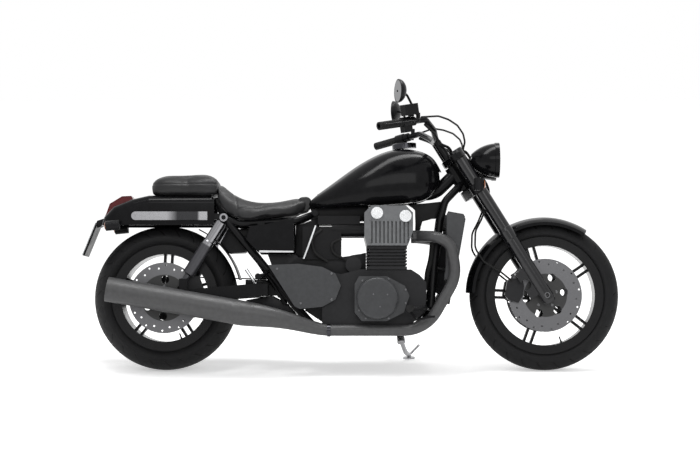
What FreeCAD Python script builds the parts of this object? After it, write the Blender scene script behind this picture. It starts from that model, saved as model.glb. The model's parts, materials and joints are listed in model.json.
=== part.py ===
"""Cruiser motorcycle with an upright parallel twin, parked on its side stand.

Every piece is modelled on the upright machine: X points forward, Y to the rider's left, Z up, and the
origin is on the ground below the engine. What turns with the steering is modelled in the fork's
own frame, whose origin is the front axle and whose Z runs up the fork legs. The last step leans the whole
machine onto its side stand.
"""

import FreeCAD, Part
import math
import os
import Sketcher

# Lengths are millimetres and angles are degrees.
SIZES = {
    # Stance
    "swingarm_length": 542,
    "tyre_to_header": 51.5,
    "lean_angle": 9,
    "rake_angle": 32,
    "fork_offset": 42,
    "seat_gap": 0.3,
    # Front wheel
    "front_tyre_radius": 320,
    "front_tyre_width": 118,
    "front_shoulder_drop": 52,
    "front_bead_radius": 241,
    "front_rim_width": 90,
    "front_rim_inner_radius": 213,
    "front_hub_width": 134,
    # Rear wheel
    "rear_tyre_radius": 308,
    "rear_tyre_width": 188,
    "rear_shoulder_drop": 50,
    "rear_bead_radius": 216,
    "rear_rim_width": 152,
    "rear_rim_inner_radius": 186,
    "rear_hub_width": 216,
    # Both wheels
    "bead_height": 12,
    "flange_height": 9,
    "flange_thickness": 6,
    "rim_wall": 7,
    "rim_seat_width": 14,
    "hub_radius": 42,
    "spoke_width": 12,
    "spoke_spacing": 30,
    "spoke_depth": 34,
    "axle_radius": 12,
    "axle_bore_radius": 8,
    "axle_clearance": 0.05,
    # Brake discs
    "disc_radius": 156,
    "disc_thickness": 5,
    "disc_band": 36,
    "rear_disc_radius": 150,
    "carrier_hole_radius": 17,
    "disc_hole_radius": 4,
    # Fork
    "leg_spacing": 230,
    "slider_radius": 30,
    "slider_length": 335,
    "slider_foot": 34,
    "cover_radius": 27,
    "lower_yoke_height": 540,
    "lower_yoke_thickness": 44,
    "yoke_span": 160,
    "upper_yoke_thickness": 30,
    "yoke_rim": 12,
    "stem_radius": 15,
    "head_tube_radius": 31,
    "leg_top_rise": 28,
    # Handlebar and controls
    "bar_radius": 12.7,
    "bar_bore_radius": 9,
    "bar_bore_depth": 60,
    "riser_height": 95,
    "bar_bend_radius": 40,
    "grip_radius": 17,
    "grip_length": 118,
    "switch_radius": 22,
    "switch_length": 42,
    "reservoir_length": 68,
    "reservoir_width": 46,
    "reservoir_height": 46,
    "lever_gap": 52,
    "lever_thickness": 8,
    "mirror_width": 132,
    "mirror_height": 98,
    "mirror_depth": 34,
    "mirror_stalk_radius": 5,
    # Lamps
    "lamp_radius": 75,
    "lamp_depth": 118,
    "lamp_spacing": 178,
    "lamp_wall": 3,
    "lamp_rim": 20,
    "lamp_reach": 88,
    "lamp_rise": 84,
    "lens_thickness": 4,
    "indicator_radius": 21,
    "indicator_length": 52,
    # Front fender
    "fender_radius": 337,
    "fender_side_radius": 300,
    "fender_width": 158,
    "fender_thickness": 3,
    "fender_front_angle": 57,
    "fender_sweep": 121,
    # Frame
    "frame_tube_radius": 16,
    "spine_radius": 27,
    "cradle_half_width": 122,
    "cradle_height": 178,
    "strut_half_width": 111,
    "pivot_half_width": 86,
    "pivot_x": -270,
    "pivot_z": 350,
    "pivot_bolt_radius": 10,
    # Swingarm and shocks
    "arm_offset": 149,
    "arm_width": 30,
    "arm_height": 56,
    "shock_offset": 151,
    "shock_top_ahead": 254,
    "shock_top_rise": 339,
    "shock_foot_ahead": 85,
    "shock_foot_rise": 68,
    "shock_body_radius": 25,
    "shock_cover_radius": 21,
    # Engine
    "case_half_width": 148,
    "case_top": 428,
    "sump_bottom": 166,
    "cover_offset": 232,
    "clutch_cover_x": 92,
    "clutch_cover_z": 306,
    "clutch_cover_radius": 95,
    "barrel_half_width": 160,
    "barrel_height": 100,
    "head_half_width": 180,
    "head_height": 169,
    "head_rear": 38,
    "head_front": 243,
    "flute_width": 7,
    "flute_pitch": 17,
    "cam_cap_radius": 25,
    # Exhaust
    "pipe_radius": 23.5,
    "pipe_offset": 170,
    "pipe_height": 171,
    "header_reach": 172,
    "muffler_radius": 52,
    "muffler_offset": 226,
    "muffler_front_x": -460,
    "muffler_front_z": 241,
    "muffler_tail": 228,
    "muffler_rear_z": 343,
    # Radiator
    "radiator_half_width": 126,
    "radiator_thickness": 34,
    "radiator_length": 380,
    "cowl_thickness": 16,
    "shroud_half_width": 32,
    "shroud_depth": 40,
    "oil_filter_radius": 38,
    "starter_radius": 34,
    # Tank and seat
    "tank_half_width": 156,
    "tank_to_head": 9,
    "tank_height": 244,
    "tunnel_half_width": 44,
    "tunnel_depth": 78,
    "dial_radius": 52,
    "dial_height": 20,
    "seat_half_width": 152,
    "pad_half_width": 118,
    "pad_length": 285,
    # Tail
    "rear_fender_half_width": 114,
    "rear_fender_top": 745,
    "rear_fender_edge": 617,
    "rear_fender_thickness": 4,
    "rail_thickness": 12,
    "rail_height": 36,
    "rail_length": 305,
    "plate_width": 200,
    "plate_height": 150,
    # Final drive
    "belt_width": 20,
    "belt_thickness": 5,
    "rear_pulley_radius": 92,
    "front_pulley_radius": 44,
    "belt_clearance": 0.3,
    # Side stand
    "stand_pivot_x": 200,
    "stand_pivot_y": 122,
    "stand_pivot_z": 126,
    "stand_foot_x": 240,
    "stand_foot_y": 288,
    "stand_leg_radius": 10,
    "stand_foot_radius": 26,
    "stand_foot_thickness": 6,
    # Foot controls
    "peg_radius": 15,
    "peg_length": 92,
}

doc = FreeCAD.newDocument("cruiser")
sheet = doc.addObject("Spreadsheet::Sheet", "sizes")


class Length:
    """A size worked out from the sheet: its number, and the expression that keeps it bound to the sheet."""

    def __init__(self, value, text):
        self.value = float(value)
        self.text = text

    def __float__(self):
        return self.value

    def combine(self, other, value, sign):
        return Length(value, f"({self.text} {sign} {expression(other)})")

    def __add__(self, other):
        return self.combine(other, self.value + float(other), "+")

    def __sub__(self, other):
        return self.combine(other, self.value - float(other), "-")

    def __mul__(self, other):
        return self.combine(other, self.value * float(other), "*")

    def __truediv__(self, other):
        return self.combine(other, self.value / float(other), "/")

    def __radd__(self, other):
        return self + other

    def __rmul__(self, other):
        return self * other

    def __rsub__(self, other):
        return Length(float(other) - self.value, f"({expression(other)} - {self.text})")

    def __neg__(self):
        return Length(-self.value, f"(0 - {self.text})")


def expression(size):
    """The text of a size or a plain number, as an expression."""
    return size.text if isinstance(size, Length) else f"({float(size):.9g})"


def fill_sheet():
    """Writes every size to the sheet and returns them by name."""
    found = {}
    for row, (name, value) in enumerate(SIZES.items(), start=1):
        sheet.set(f"A{row}", name)
        sheet.set(f"B{row}", str(value))
        sheet.setAlias(f"B{row}", name)
        found[name] = Length(value, f"sizes.{name}")
    doc.recompute()
    return found


S = fill_sheet()
GAP = S["seat_gap"]
S["upper_yoke_height"] = S["lower_yoke_height"] + S["yoke_span"]
S["fork_top"] = S["upper_yoke_height"] + S["leg_top_rise"]
S["lamp_height"] = S["lower_yoke_height"] + S["lamp_rise"]
S["barrel_top"] = S["case_top"] + S["barrel_height"]
S["head_top"] = S["barrel_top"] + S["head_height"]
S["tank_bottom"] = S["head_top"] + S["tank_to_head"]
S["tank_top"] = S["tank_bottom"] + S["tank_height"]
S["tunnel_top"] = S["tank_bottom"] + S["tunnel_depth"]
S["shock_top_z"] = S["rear_tyre_radius"] + S["shock_top_rise"]
S["shock_foot_z"] = S["rear_tyre_radius"] + S["shock_foot_rise"]


def number(name):
    """One size as a plain number."""
    return float(S[name])


def vector(x, y, z):
    return FreeCAD.Vector(float(x), float(y), float(z))


# Frames

RAKE = math.radians(number("rake_angle"))
LEAN = math.radians(number("lean_angle"))
PIVOT_RISE = number("pivot_z") - number("rear_tyre_radius")
ARM_SPAN = math.sqrt(number("swingarm_length") ** 2 - PIVOT_RISE**2)
HEADER_FRONT = number("head_front") + number("header_reach") + number("pipe_radius")
FRONT_AXLE_X = HEADER_FRONT + number("tyre_to_header") + number("front_tyre_radius")
FRONT_AXLE = vector(FRONT_AXLE_X, 0, S["front_tyre_radius"])
REAR_AXLE = vector(number("pivot_x") - ARM_SPAN, 0, S["rear_tyre_radius"])
UPRIGHT = FreeCAD.Placement()
FORK = FreeCAD.Placement(FRONT_AXLE, FreeCAD.Rotation(vector(0, 1, 0), -number("rake_angle")))
STEM_X = -number("fork_offset")


def crown_radius(prefix):
    """Radius of the tread's arc across the tyre."""
    half, drop = S[prefix + "_tyre_width"] / 2, S[prefix + "_shoulder_drop"]
    return (half * half + drop * drop) / (2 * drop)


def lean_placement():
    """Leans the machine to its left until both tyres stand on the floor."""
    lifts = [float(crown_radius(p)) * (1 - math.cos(LEAN)) for p in ("front", "rear")]
    pitch = math.degrees(math.atan2(lifts[1] - lifts[0], FRONT_AXLE.x - REAR_AXLE.x))
    lean = FreeCAD.Placement(vector(0, 0, 0), FreeCAD.Rotation(vector(1, 0, 0), -number("lean_angle")))
    level = FreeCAD.Rotation(vector(0, 1, 0), pitch)
    return FreeCAD.Placement(vector(0, 0, sum(lifts) / 2), level).multiply(lean)


LEANING = lean_placement()


def aft(x):
    """A place along the machine, so far ahead of the rear axle."""
    return REAR_AXLE.x + float(x)


def on_fork(x, y, z):
    """A point of the fork's frame, on the upright machine."""
    return FORK.multVec(vector(x, y, z))


def in_fork(x, y, z):
    """A point of the upright machine, in the fork's frame."""
    return FORK.inverse().multVec(vector(x, y, z))


# Sketches and features


def new_body(name):
    return doc.addObject("PartDesign::Body", name)


def base_plane(body, role):
    return next(f for f in body.Origin.OriginFeatures if f.Role == role)


def new_sketch(body, role, offset=0):
    """A sketch on one of the body's own base planes, moved along the plane's normal."""
    sketch = body.newObject("Sketcher::SketchObject", body.Name + "_sketch")
    sketch.AttachmentSupport = [(base_plane(body, role), "")]
    sketch.MapMode = "FlatFace"
    if isinstance(offset, Length) or offset:
        sketch.setExpression(".AttachmentOffset.Base.z", expression(offset))
    return sketch


def constrain_point(sketch, geometry, end, point):
    for kind, value in zip(("DistanceX", "DistanceY"), point):
        index = sketch.addConstraint(Sketcher.Constraint(kind, -1, 1, geometry, end, float(value)))
        bind_constraint(sketch, index, value)


def bind_constraint(sketch, index, value):
    if isinstance(value, Length):
        name = f"size_{index}"
        sketch.renameConstraint(index, name)
        sketch.setExpression("Constraints." + name, value.text)


def arc_between(start, end, radius, side):
    """The short arc from start to end. Side 1 turns left on its way and side -1 turns right."""
    across = end - start
    reach = math.sqrt(max(radius**2 - (across.Length / 2) ** 2, 0))
    left = FreeCAD.Vector(-across.y, across.x, 0).normalize()
    centre = (start + end) * 0.5 + left * (side * reach)
    first, last = (start, end) if side > 0 else (end, start)
    angles = [math.atan2(p.y - centre.y, p.x - centre.x) for p in (first, last)]
    if angles[1] < angles[0]:
        angles[1] += 2 * math.pi
    circle = Part.Circle(centre, vector(0, 0, 1), radius)
    return Part.ArcOfCircle(circle, *angles)


def draw_outline(sketch, points, arcs=None):
    """Draws a closed outline. arcs gives (radius, side) for the edge that leaves the point of that number."""
    arcs = arcs or {}
    first = sketch.GeometryCount
    flat = [vector(x, y, 0) for x, y in points]
    for i, start in enumerate(flat):
        end = flat[(i + 1) % len(flat)]
        if i in arcs:
            radius, side = arcs[i]
            sketch.addGeometry(arc_between(start, end, float(radius), side), False)
        else:
            sketch.addGeometry(Part.LineSegment(start, end), False)

    def ends(i):
        return (2, 1) if i in arcs and arcs[i][1] < 0 else (1, 2)

    for i in range(len(points)):
        after = (i + 1) % len(points)
        pair = (first + i, ends(i)[1], first + after, ends(after)[0])
        sketch.addConstraint(Sketcher.Constraint("Coincident", *pair))
    for i, point in enumerate(points):
        constrain_point(sketch, first + i, ends(i)[0], point)
    for i, (radius, _) in arcs.items():
        index = sketch.addConstraint(Sketcher.Constraint("Radius", first + i, float(radius)))
        bind_constraint(sketch, index, radius)


def draw_circle(sketch, centre, radius):
    circle = Part.Circle(vector(*centre, 0), vector(0, 0, 1), float(radius))
    geometry = sketch.addGeometry(circle, False)
    constrain_point(sketch, geometry, 3, centre)
    index = sketch.addConstraint(Sketcher.Constraint("Radius", geometry, float(radius)))
    bind_constraint(sketch, index, radius)


def bind(feature, **values):
    for name, value in values.items():
        if isinstance(value, Length):
            feature.setExpression(name, value.text)
        setattr(feature, name, float(value))


def finish(body, feature):
    body.Tip = feature
    return feature


def pad(body, sketch, length, symmetric=False, other_way=False):
    feature = body.newObject("PartDesign::Pad", body.Name + "_pad")
    feature.Profile = sketch
    bind(feature, Length=length)
    feature.SideType = "Symmetric" if symmetric else "One side"
    feature.Reversed = other_way
    return finish(body, feature)


def pocket(body, sketch, length, symmetric=False, other_way=False):
    feature = body.newObject("PartDesign::Pocket", body.Name + "_pocket")
    feature.Profile = sketch
    bind(feature, Length=length)
    feature.SideType = "Symmetric" if symmetric else "One side"
    feature.Reversed = other_way
    return finish(body, feature)


def revolve(body, sketch, axis, angle=360):
    feature = body.newObject("PartDesign::Revolution", body.Name + "_turned")
    feature.Profile = sketch
    feature.ReferenceAxis = (base_plane(body, axis), [""])
    bind(feature, Angle=angle)
    return finish(body, feature)


def repeat_round(body, originals, axis, count):
    feature = body.newObject("PartDesign::PolarPattern", body.Name + "_round")
    feature.Originals = originals
    feature.Axis = (base_plane(body, axis), [""])
    feature.Angle = 360
    feature.Occurrences = count
    return finish(body, feature)


def repeat_along(body, originals, axis, span, count):
    feature = body.newObject("PartDesign::LinearPattern", body.Name + "_row")
    feature.Originals = originals
    feature.Direction = (base_plane(body, axis), [""])
    bind(feature, Length=span)
    feature.Occurrences = count
    return finish(body, feature)


def round_edges(body, feature, radius, chosen):
    """Rounds the edges of the feature for which chosen(edge) holds."""
    doc.recompute()
    names = [f"Edge{i}" for i, e in enumerate(feature.Shape.Edges, start=1) if chosen(e)]
    fillet = body.newObject("PartDesign::Fillet", body.Name + "_fillet")
    fillet.Base = (feature, names)
    bind(fillet, Radius=radius)
    return finish(body, fillet)


# Solids and groups


def place(item, base, direction=(0, 0, 1)):
    item.Placement = FreeCAD.Placement(
        vector(*base), FreeCAD.Rotation(vector(0, 0, 1), vector(*direction))
    )
    for axis, value in zip("xyz", base):
        if isinstance(value, Length):
            item.setExpression(".Placement.Base." + axis, value.text)
    return item


def cylinder(name, radius, length, base, direction=(0, 0, 1)):
    item = doc.addObject("Part::Cylinder", name)
    bind(item, Radius=radius, Height=length)
    return place(item, base, direction)


def block(name, length, width, height, base):
    item = doc.addObject("Part::Box", name)
    bind(item, Length=length, Width=width, Height=height)
    return place(item, base)


def fuse(name, items):
    result = doc.addObject("Part::MultiFuse", name)
    result.Shapes = items
    result.Refine = True
    return result


def cut(name, base, tool):
    result = doc.addObject("Part::Cut", name)
    result.Base = base
    result.Tool = tool
    return result


def mirrored(item):
    """The same piece on the other side of the machine."""
    result = doc.addObject("Part::Mirroring", item.Name + "_left")
    result.Source = item
    result.Normal = vector(0, 1, 0)
    return result


def group(name, items):
    result = doc.addObject("Part::Compound", name)
    result.Links = items
    return result


def pair(name, item):
    return group(name, [item, mirrored(item)])


def feature(name, shape):
    item = doc.addObject("Part::Feature", name)
    item.Shape = Part.makeCompound(shape.Solids)
    return item


# Bent tubes and lofts


def bent_path(points, bend):
    """A wire of straight runs joined by tangent arcs."""
    edges, last = [], points[0]
    for i in range(1, len(points) - 1):
        before = (points[i - 1] - points[i]).normalize()
        after = (points[i + 1] - points[i]).normalize()
        half = before.getAngle(after) / 2
        reach = bend / math.tan(half)
        room = 0.48 * min((points[i - 1] - points[i]).Length, (points[i + 1] - points[i]).Length)
        reach = min(reach, room)
        radius = reach * math.tan(half)
        start, end = points[i] + before * reach, points[i] + after * reach
        inward = (before + after).normalize()
        centre = points[i] + inward * (radius / math.sin(half))
        middle = centre - inward * radius
        edges.append(Part.LineSegment(last, start).toShape())
        edges.append(Part.Arc(start, middle, end).toShape())
        last = end
    edges.append(Part.LineSegment(last, points[-1]).toShape())
    return Part.Wire(edges)


def ring(centre, normal, radius):
    return Part.Wire(Part.Circle(centre, normal, radius).toShape())


def bent_tube(points, radius, bend):
    """A round bar along straight runs and bends."""
    points = [vector(*p) for p in points]
    path = bent_path(points, bend)
    tube = path.makePipeShell([ring(points[0], points[1] - points[0], radius)], True, True)
    volume = math.pi * radius**2 * path.Length
    if abs(tube.Volume - volume) > 0.01 * volume:
        raise ValueError(f"a bent tube holds {tube.Volume:.0f} mm3 and should hold {volume:.0f}")
    return tube


def both_sides(shape):
    return [shape, shape.mirror(vector(0, 0, 0), vector(0, 1, 0))]


def smooth_loft(wires):
    return Part.makeLoft(wires, True, False)


# How far out and how high a rounded body's side reaches, as shares of half its width and its height
TANK_SIDE = [(0.5, 0), (0.93, 0.12), (1, 0.4), (0.9, 0.68), (0.6, 0.91), (0, 1)]
SEAT_SIDE = [(0.86, 0), (0.97, 0.12), (1, 0.42), (0.88, 0.8), (0.55, 0.97), (0, 1)]


def section_wire(x, half_width, bottom, top, side):
    """A closed section across the machine at x: flat below, and one smooth curve from side to side above."""
    right = [vector(x, -u * half_width, bottom + v * (top - bottom)) for u, v in side]
    left = [vector(x, -p.y, p.z) for p in right[-2::-1]]
    curve = Part.BSplineCurve()
    curve.interpolate(Points=right + left)
    base = Part.LineSegment(left[-1], right[0])
    return Part.Wire([curve.toShape(), base.toShape()])


NODES = {}


def node(label, item, local=UPRIGHT):
    """Names a sub-part and says which frame it is modelled in."""
    item.Label = label
    NODES[label] = (item, local)
    return item


# Wheels


def tyre(prefix):
    bead, half_rim = S[prefix + "_bead_radius"], S[prefix + "_rim_width"] / 2
    radius, half = S[prefix + "_tyre_radius"], S[prefix + "_tyre_width"] / 2
    shoulder = radius - S[prefix + "_shoulder_drop"]
    wall = bead + S["bead_height"]
    body = new_body(prefix + "_tyre")
    sketch = new_sketch(body, "XY_Plane")
    points = [
        (bead, -half_rim),
        (wall, -half_rim),
        (shoulder, -half),
        (shoulder, half),
        (wall, half_rim),
        (bead, half_rim),
    ]
    side = (shoulder - wall) * 1.3
    draw_outline(sketch, points, {1: (side, 1), 2: (crown_radius(prefix), 1), 3: (side, 1)})
    revolve(body, sketch, "Y_Axis")
    return body


def rim(prefix):
    bead, half = S[prefix + "_bead_radius"], S[prefix + "_rim_width"] / 2
    inner, hub_half = S[prefix + "_rim_inner_radius"], S[prefix + "_hub_width"] / 2
    lip, face = bead + S["flange_height"], half + GAP
    outside = half + S["flange_thickness"]
    seat, well = bead - GAP, inner + S["rim_wall"]
    body = new_body(prefix + "_rim")
    sketch = new_sketch(body, "XY_Plane")
    near = [
        (lip, -outside),
        (lip, -face),
        (seat, -face),
        (seat, S["rim_seat_width"] - half),
        (well, S["rim_seat_width"] * 1.6 - half),
    ]
    far = [(r, -y) for r, y in reversed(near)]
    draw_outline(sketch, [(inner, -outside)] + near + far + [(inner, outside)])
    revolve(body, sketch, "Y_Axis")
    spokes = new_sketch(body, "XZ_Plane")
    start, end = S["hub_radius"] * 0.9, inner + S["rim_wall"] / 2
    for side in (-1, 1):
        low = S["spoke_spacing"] * (side / 2) - S["spoke_width"] / 2
        high = low + S["spoke_width"]
        draw_outline(spokes, [(start, low), (end, low), (end, high), (start, high)])
    pair_of_spokes = pad(body, spokes, S["spoke_depth"], symmetric=True)
    hub = new_sketch(body, "XY_Plane")
    bore = S["axle_radius"] + S["axle_clearance"]
    waist = S["hub_radius"] + 14
    half_depth = S["spoke_depth"] / 2
    draw_outline(
        hub,
        [
            (bore, -hub_half),
            (S["hub_radius"], -hub_half),
            (S["hub_radius"], -half_depth - 6),
            (waist, -half_depth),
            (waist, half_depth),
            (S["hub_radius"], half_depth + 6),
            (S["hub_radius"], hub_half),
            (bore, hub_half),
        ],
    )
    revolve(body, hub, "Y_Axis")
    repeat_round(body, [pair_of_spokes], "Y_Axis", 5)
    return body


def disc_plane(prefix):
    """How far the middle of a disc is from the wheel's middle: it is seated on the hub's end."""
    return S[prefix + "_hub_width"] / 2 + GAP + S["disc_thickness"] / 2


def belt_plane():
    """How far the belt's middle is from the wheel's middle: the pulley is seated on the hub's end."""
    return S["rear_hub_width"] / 2 + GAP + S["belt_width"] / 2


def brake_disc(name, radius, plane):
    """A drilled disc with its carrier, on the right of the wheel."""
    body = new_body(name)
    inner = radius - S["disc_band"]
    ring_sketch = new_sketch(body, "XZ_Plane", plane)
    draw_circle(ring_sketch, (0, 0), radius)
    draw_circle(ring_sketch, (0, 0), S["axle_radius"] + 6)
    pad(body, ring_sketch, S["disc_thickness"], symmetric=True)
    window = new_sketch(body, "XZ_Plane", plane)
    middle = (inner + S["hub_radius"]) / 2
    draw_circle(window, (middle, 0), S["carrier_hole_radius"])
    hole = pocket(body, window, S["disc_thickness"] * 2, symmetric=True)
    repeat_round(body, [hole], "Y_Axis", 6)
    drill = new_sketch(body, "XZ_Plane", plane)
    draw_circle(drill, (radius - S["disc_band"] * 0.3, 0), S["disc_hole_radius"])
    draw_circle(drill, ((radius - S["disc_band"] * 0.65) * 0.97, radius * 0.2), S["disc_hole_radius"])
    drilled = pocket(body, drill, S["disc_thickness"] * 2, symmetric=True)
    repeat_round(body, [drilled], "Y_Axis", 12)
    return body


def wheel_frame(axle, angle):
    """A wheel's frame, turned so that one pair of spokes points at angle above the road's forward line."""
    return FreeCAD.Placement(axle, FreeCAD.Rotation(vector(0, 1, 0), -angle))


def wheels():
    front = wheel_frame(FRONT_AXLE, -110)
    rear = wheel_frame(REAR_AXLE, 87)
    node("front_tyre", tyre("front"), front)
    node("front_rim", rim("front"), front)
    disc = brake_disc("front_disc", S["disc_radius"], disc_plane("front"))
    node("front_discs", pair("front_discs", disc), front)
    node("rear_tyre", tyre("rear"), rear)
    node("rear_rim", rim("rear"), rear)
    node("rear_disc", brake_disc("rear_disc", S["rear_disc_radius"], disc_plane("rear")), rear)


def pulley():
    """The toothed belt's pulley on the rear hub."""
    body = new_body("rear_pulley")
    sketch = new_sketch(body, "XY_Plane")
    middle, half = belt_plane(), S["belt_width"] / 2
    outer = S["rear_pulley_radius"]
    inner = S["axle_radius"] + 6
    draw_outline(
        sketch,
        [(inner, middle - half), (outer, middle - half), (outer, middle + half), (inner, middle + half)],
    )
    revolve(body, sketch, "Y_Axis")
    window = new_sketch(body, "XZ_Plane", -middle)
    draw_circle(window, (outer * 0.63, 0), outer * 0.17)
    hole = pocket(body, window, S["belt_width"] * 2, symmetric=True)
    repeat_round(body, [hole], "Y_Axis", 5)
    node("rear_pulley", body, wheel_frame(REAR_AXLE, 0))


def drive_belt():
    """One closed belt round both pulleys, with its guard above."""
    body = new_body("drive_belt")
    front = vector(S["pivot_x"] + 62, 0, S["pivot_z"] - 8)
    span = front - REAR_AXLE
    length = math.hypot(span.x, span.z)
    tilt = math.degrees(math.atan2(span.z, span.x))
    clear = S["belt_clearance"]
    radii = (S["rear_pulley_radius"] + clear, S["front_pulley_radius"] + clear)
    sketch = new_sketch(body, "XZ_Plane", -belt_plane())
    for extra in (S["belt_thickness"], Length(0, "0")):
        big, small = radii[0] + extra, radii[1] + extra
        lean = math.asin((float(big) - float(small)) / length)
        ux, uz = math.sin(lean), math.cos(lean)
        points = [
            (big * ux, -big * uz),
            (length + small * ux, -small * uz),
            (length + small * ux, small * uz),
            (big * ux, big * uz),
        ]
        straight = [(float(a), float(b)) for a, b in points]
        low, nose, top, back = [vector(a, b, 0) for a, b in straight]
        tail, tip = vector(-float(big), 0, 0), vector(length + float(small), 0, 0)
        sketch.addGeometry(Part.LineSegment(low, nose), False)
        sketch.addGeometry(Part.Arc(nose, tip, top), False)
        sketch.addGeometry(Part.LineSegment(top, back), False)
        sketch.addGeometry(Part.Arc(back, tail, low), False)
    pad(body, sketch, S["belt_width"], symmetric=True)
    tilted = FreeCAD.Placement(REAR_AXLE, FreeCAD.Rotation(vector(0, 1, 0), -tilt))
    node("drive_belt", body, tilted)
    front_pulley = cylinder(
        "front_pulley",
        S["front_pulley_radius"],
        S["belt_width"],
        (front.x, belt_plane() + S["belt_width"] / 2, front.z),
        (0, -1, 0),
    )
    node("front_pulley", group("front_pulley_set", [front_pulley]))


# Fork, steering and front end


def fork_legs():
    half = S["leg_spacing"] / 2
    slider = new_body("fork_slider")
    sketch = new_sketch(slider, "XZ_Plane")
    r, top, foot = S["slider_radius"], S["slider_length"], S["slider_foot"]
    draw_outline(
        sketch,
        [
            (0, -foot),
            (r * 0.75, -foot),
            (r * 0.95, -foot + 14),
            (r * 0.95, top - 60),
            (r, top - 52),
            (r, top - 12),
            (r * 0.92, top),
            (0, top),
        ],
    )
    revolve(slider, sketch, "Z_Axis")
    lug = new_sketch(slider, "XY_Plane", 20)
    reach = half - disc_plane("front") + 3 - 24 - GAP
    draw_outline(lug, [(-66, -12), (-10, -12), (-10, reach), (-66, reach)])
    pad(slider, lug, 128)
    window = new_sketch(slider, "XZ_Plane")
    draw_circle(window, (-50, 84), 22)
    pocket(slider, window, r * 2, symmetric=True)
    bore = new_sketch(slider, "XZ_Plane")
    draw_circle(bore, (0, 0), S["axle_radius"] + GAP)
    pocket(slider, bore, r * 4, symmetric=True)
    slider.setExpression(".Placement.Base.y", (-half).text)
    node("fork_sliders", pair("fork_sliders", slider), FORK)
    cover = cylinder("fork_cover", S["cover_radius"], S["fork_top"] - top - GAP, (0, -half, top + GAP))
    node("fork_tubes", pair("fork_tubes", cover), FORK)
    length = S["leg_spacing"] + S["slider_radius"] * 2 + 12
    axle = cut(
        "front_axle_tube",
        cylinder("front_axle_bar", S["axle_radius"], length, (0, length / -2, 0), (0, 1, 0)),
        cylinder("front_axle_hole", S["axle_bore_radius"], length, (0, length / -2, 0), (0, 1, 0)),
    )
    node("front_axle", axle, FORK)


def yoke(name, height, thickness):
    """A triple clamp: two leg clamps and the stem's boss, joined by straight flanks."""
    body = new_body(name)
    half = S["leg_spacing"] / 2
    outer = S["cover_radius"] + S["yoke_rim"]
    back = S["fork_offset"] + S["stem_radius"] + S["yoke_rim"]
    sketch = new_sketch(body, "XY_Plane", height)
    boss = S["stem_radius"] + S["yoke_rim"]
    draw_outline(
        sketch,
        [
            (outer * 0.55, -half),
            (outer * 0.8, -half * 0.35),
            (outer * 0.8, half * 0.35),
            (outer * 0.55, half),
            (0, half + outer),
            (-outer, half),
            (-back, boss),
            (-back, -boss),
            (-outer, -half),
            (0, -half - outer),
        ],
        {3: (outer, 1), 4: (outer, 1), 8: (outer, 1), 9: (outer, 1)},
    )
    plate = pad(body, sketch, thickness, symmetric=True)
    round_edges(body, plate, 5, lambda e: abs(e.BoundBox.ZLength) < 1e-6)
    holes = new_sketch(body, "XY_Plane", height)
    draw_circle(holes, (0, half), S["cover_radius"] + GAP)
    draw_circle(holes, (0, -half), S["cover_radius"] + GAP)
    pocket(body, holes, thickness * 2, symmetric=True)
    return body


def yokes():
    lower = yoke("lower_yoke", S["lower_yoke_height"], S["lower_yoke_thickness"])
    upper = yoke("upper_yoke", S["upper_yoke_height"], S["upper_yoke_thickness"])
    stem_top = S["upper_yoke_height"] + 24
    stem = cylinder(
        "stem", S["stem_radius"], stem_top - S["lower_yoke_height"], (STEM_X, 0, S["lower_yoke_height"])
    )
    nut = cylinder("stem_nut", S["stem_radius"] + 4, 12, (STEM_X, 0, S["upper_yoke_height"] + 14))
    risers = [
        cylinder(f"riser_{side}", 17, S["riser_height"], (STEM_X, 48 * side, S["upper_yoke_height"] + 8))
        for side in (-1, 1)
    ]
    node("fork_yokes", fuse("fork_yokes", [lower, upper, stem, nut] + risers), FORK)


def bar_height():
    """Height of the bar's middle up the fork's frame: it rests on the risers."""
    riser_top = number("upper_yoke_height") + 8 + number("riser_height")
    return riser_top + number("bar_radius") + number("seat_gap")


def bar_points():
    """The right half of the handlebar's line, from its middle to its end, in the fork's frame."""
    clamp = vector(STEM_X, 0, bar_height())
    level = FORK.inverse().Rotation
    ways = [(0, -92, 0), (-12, -190, 25), (-52, -300, 58), (-247, -440, 15)]
    return [tuple(clamp)] + [tuple(clamp + level.multVec(vector(*w))) for w in ways]


def handlebar():
    """The bent bar and, at each end, the straight bored length inside the grip."""
    right = bar_points()
    tip, before = vector(*right[-1]), vector(*right[-2])
    inward = (before - tip).normalize()
    depth, radius = number("bar_bore_depth"), number("bar_radius")
    inner = right[1:-1] + [tuple(tip + inward * depth)]
    left = [(x, -y, z) for x, y, z in reversed(inner)]
    middle = bent_tube(left + inner, radius, number("bar_bend_radius"))
    sleeve = Part.makeCylinder(radius, depth, tip, inward)
    sleeve = sleeve.cut(Part.makeCylinder(number("bar_bore_radius"), depth, tip, inward))
    node("handlebar", feature("handlebar", Part.makeCompound([middle] + both_sides(sleeve))), FORK)


def grip_frame():
    """The right grip: its outer end, the way inward along the bar, and the ways forward and up."""
    end, before = vector(*bar_points()[-1]), vector(*bar_points()[-2])
    inward = (before - end).normalize()
    up = FORK.inverse().Rotation.multVec(vector(0, 0, 1))
    forward = inward.cross(up).normalize()
    if forward.x < 0:
        forward = forward * -1
    return end, inward, forward, up


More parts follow.
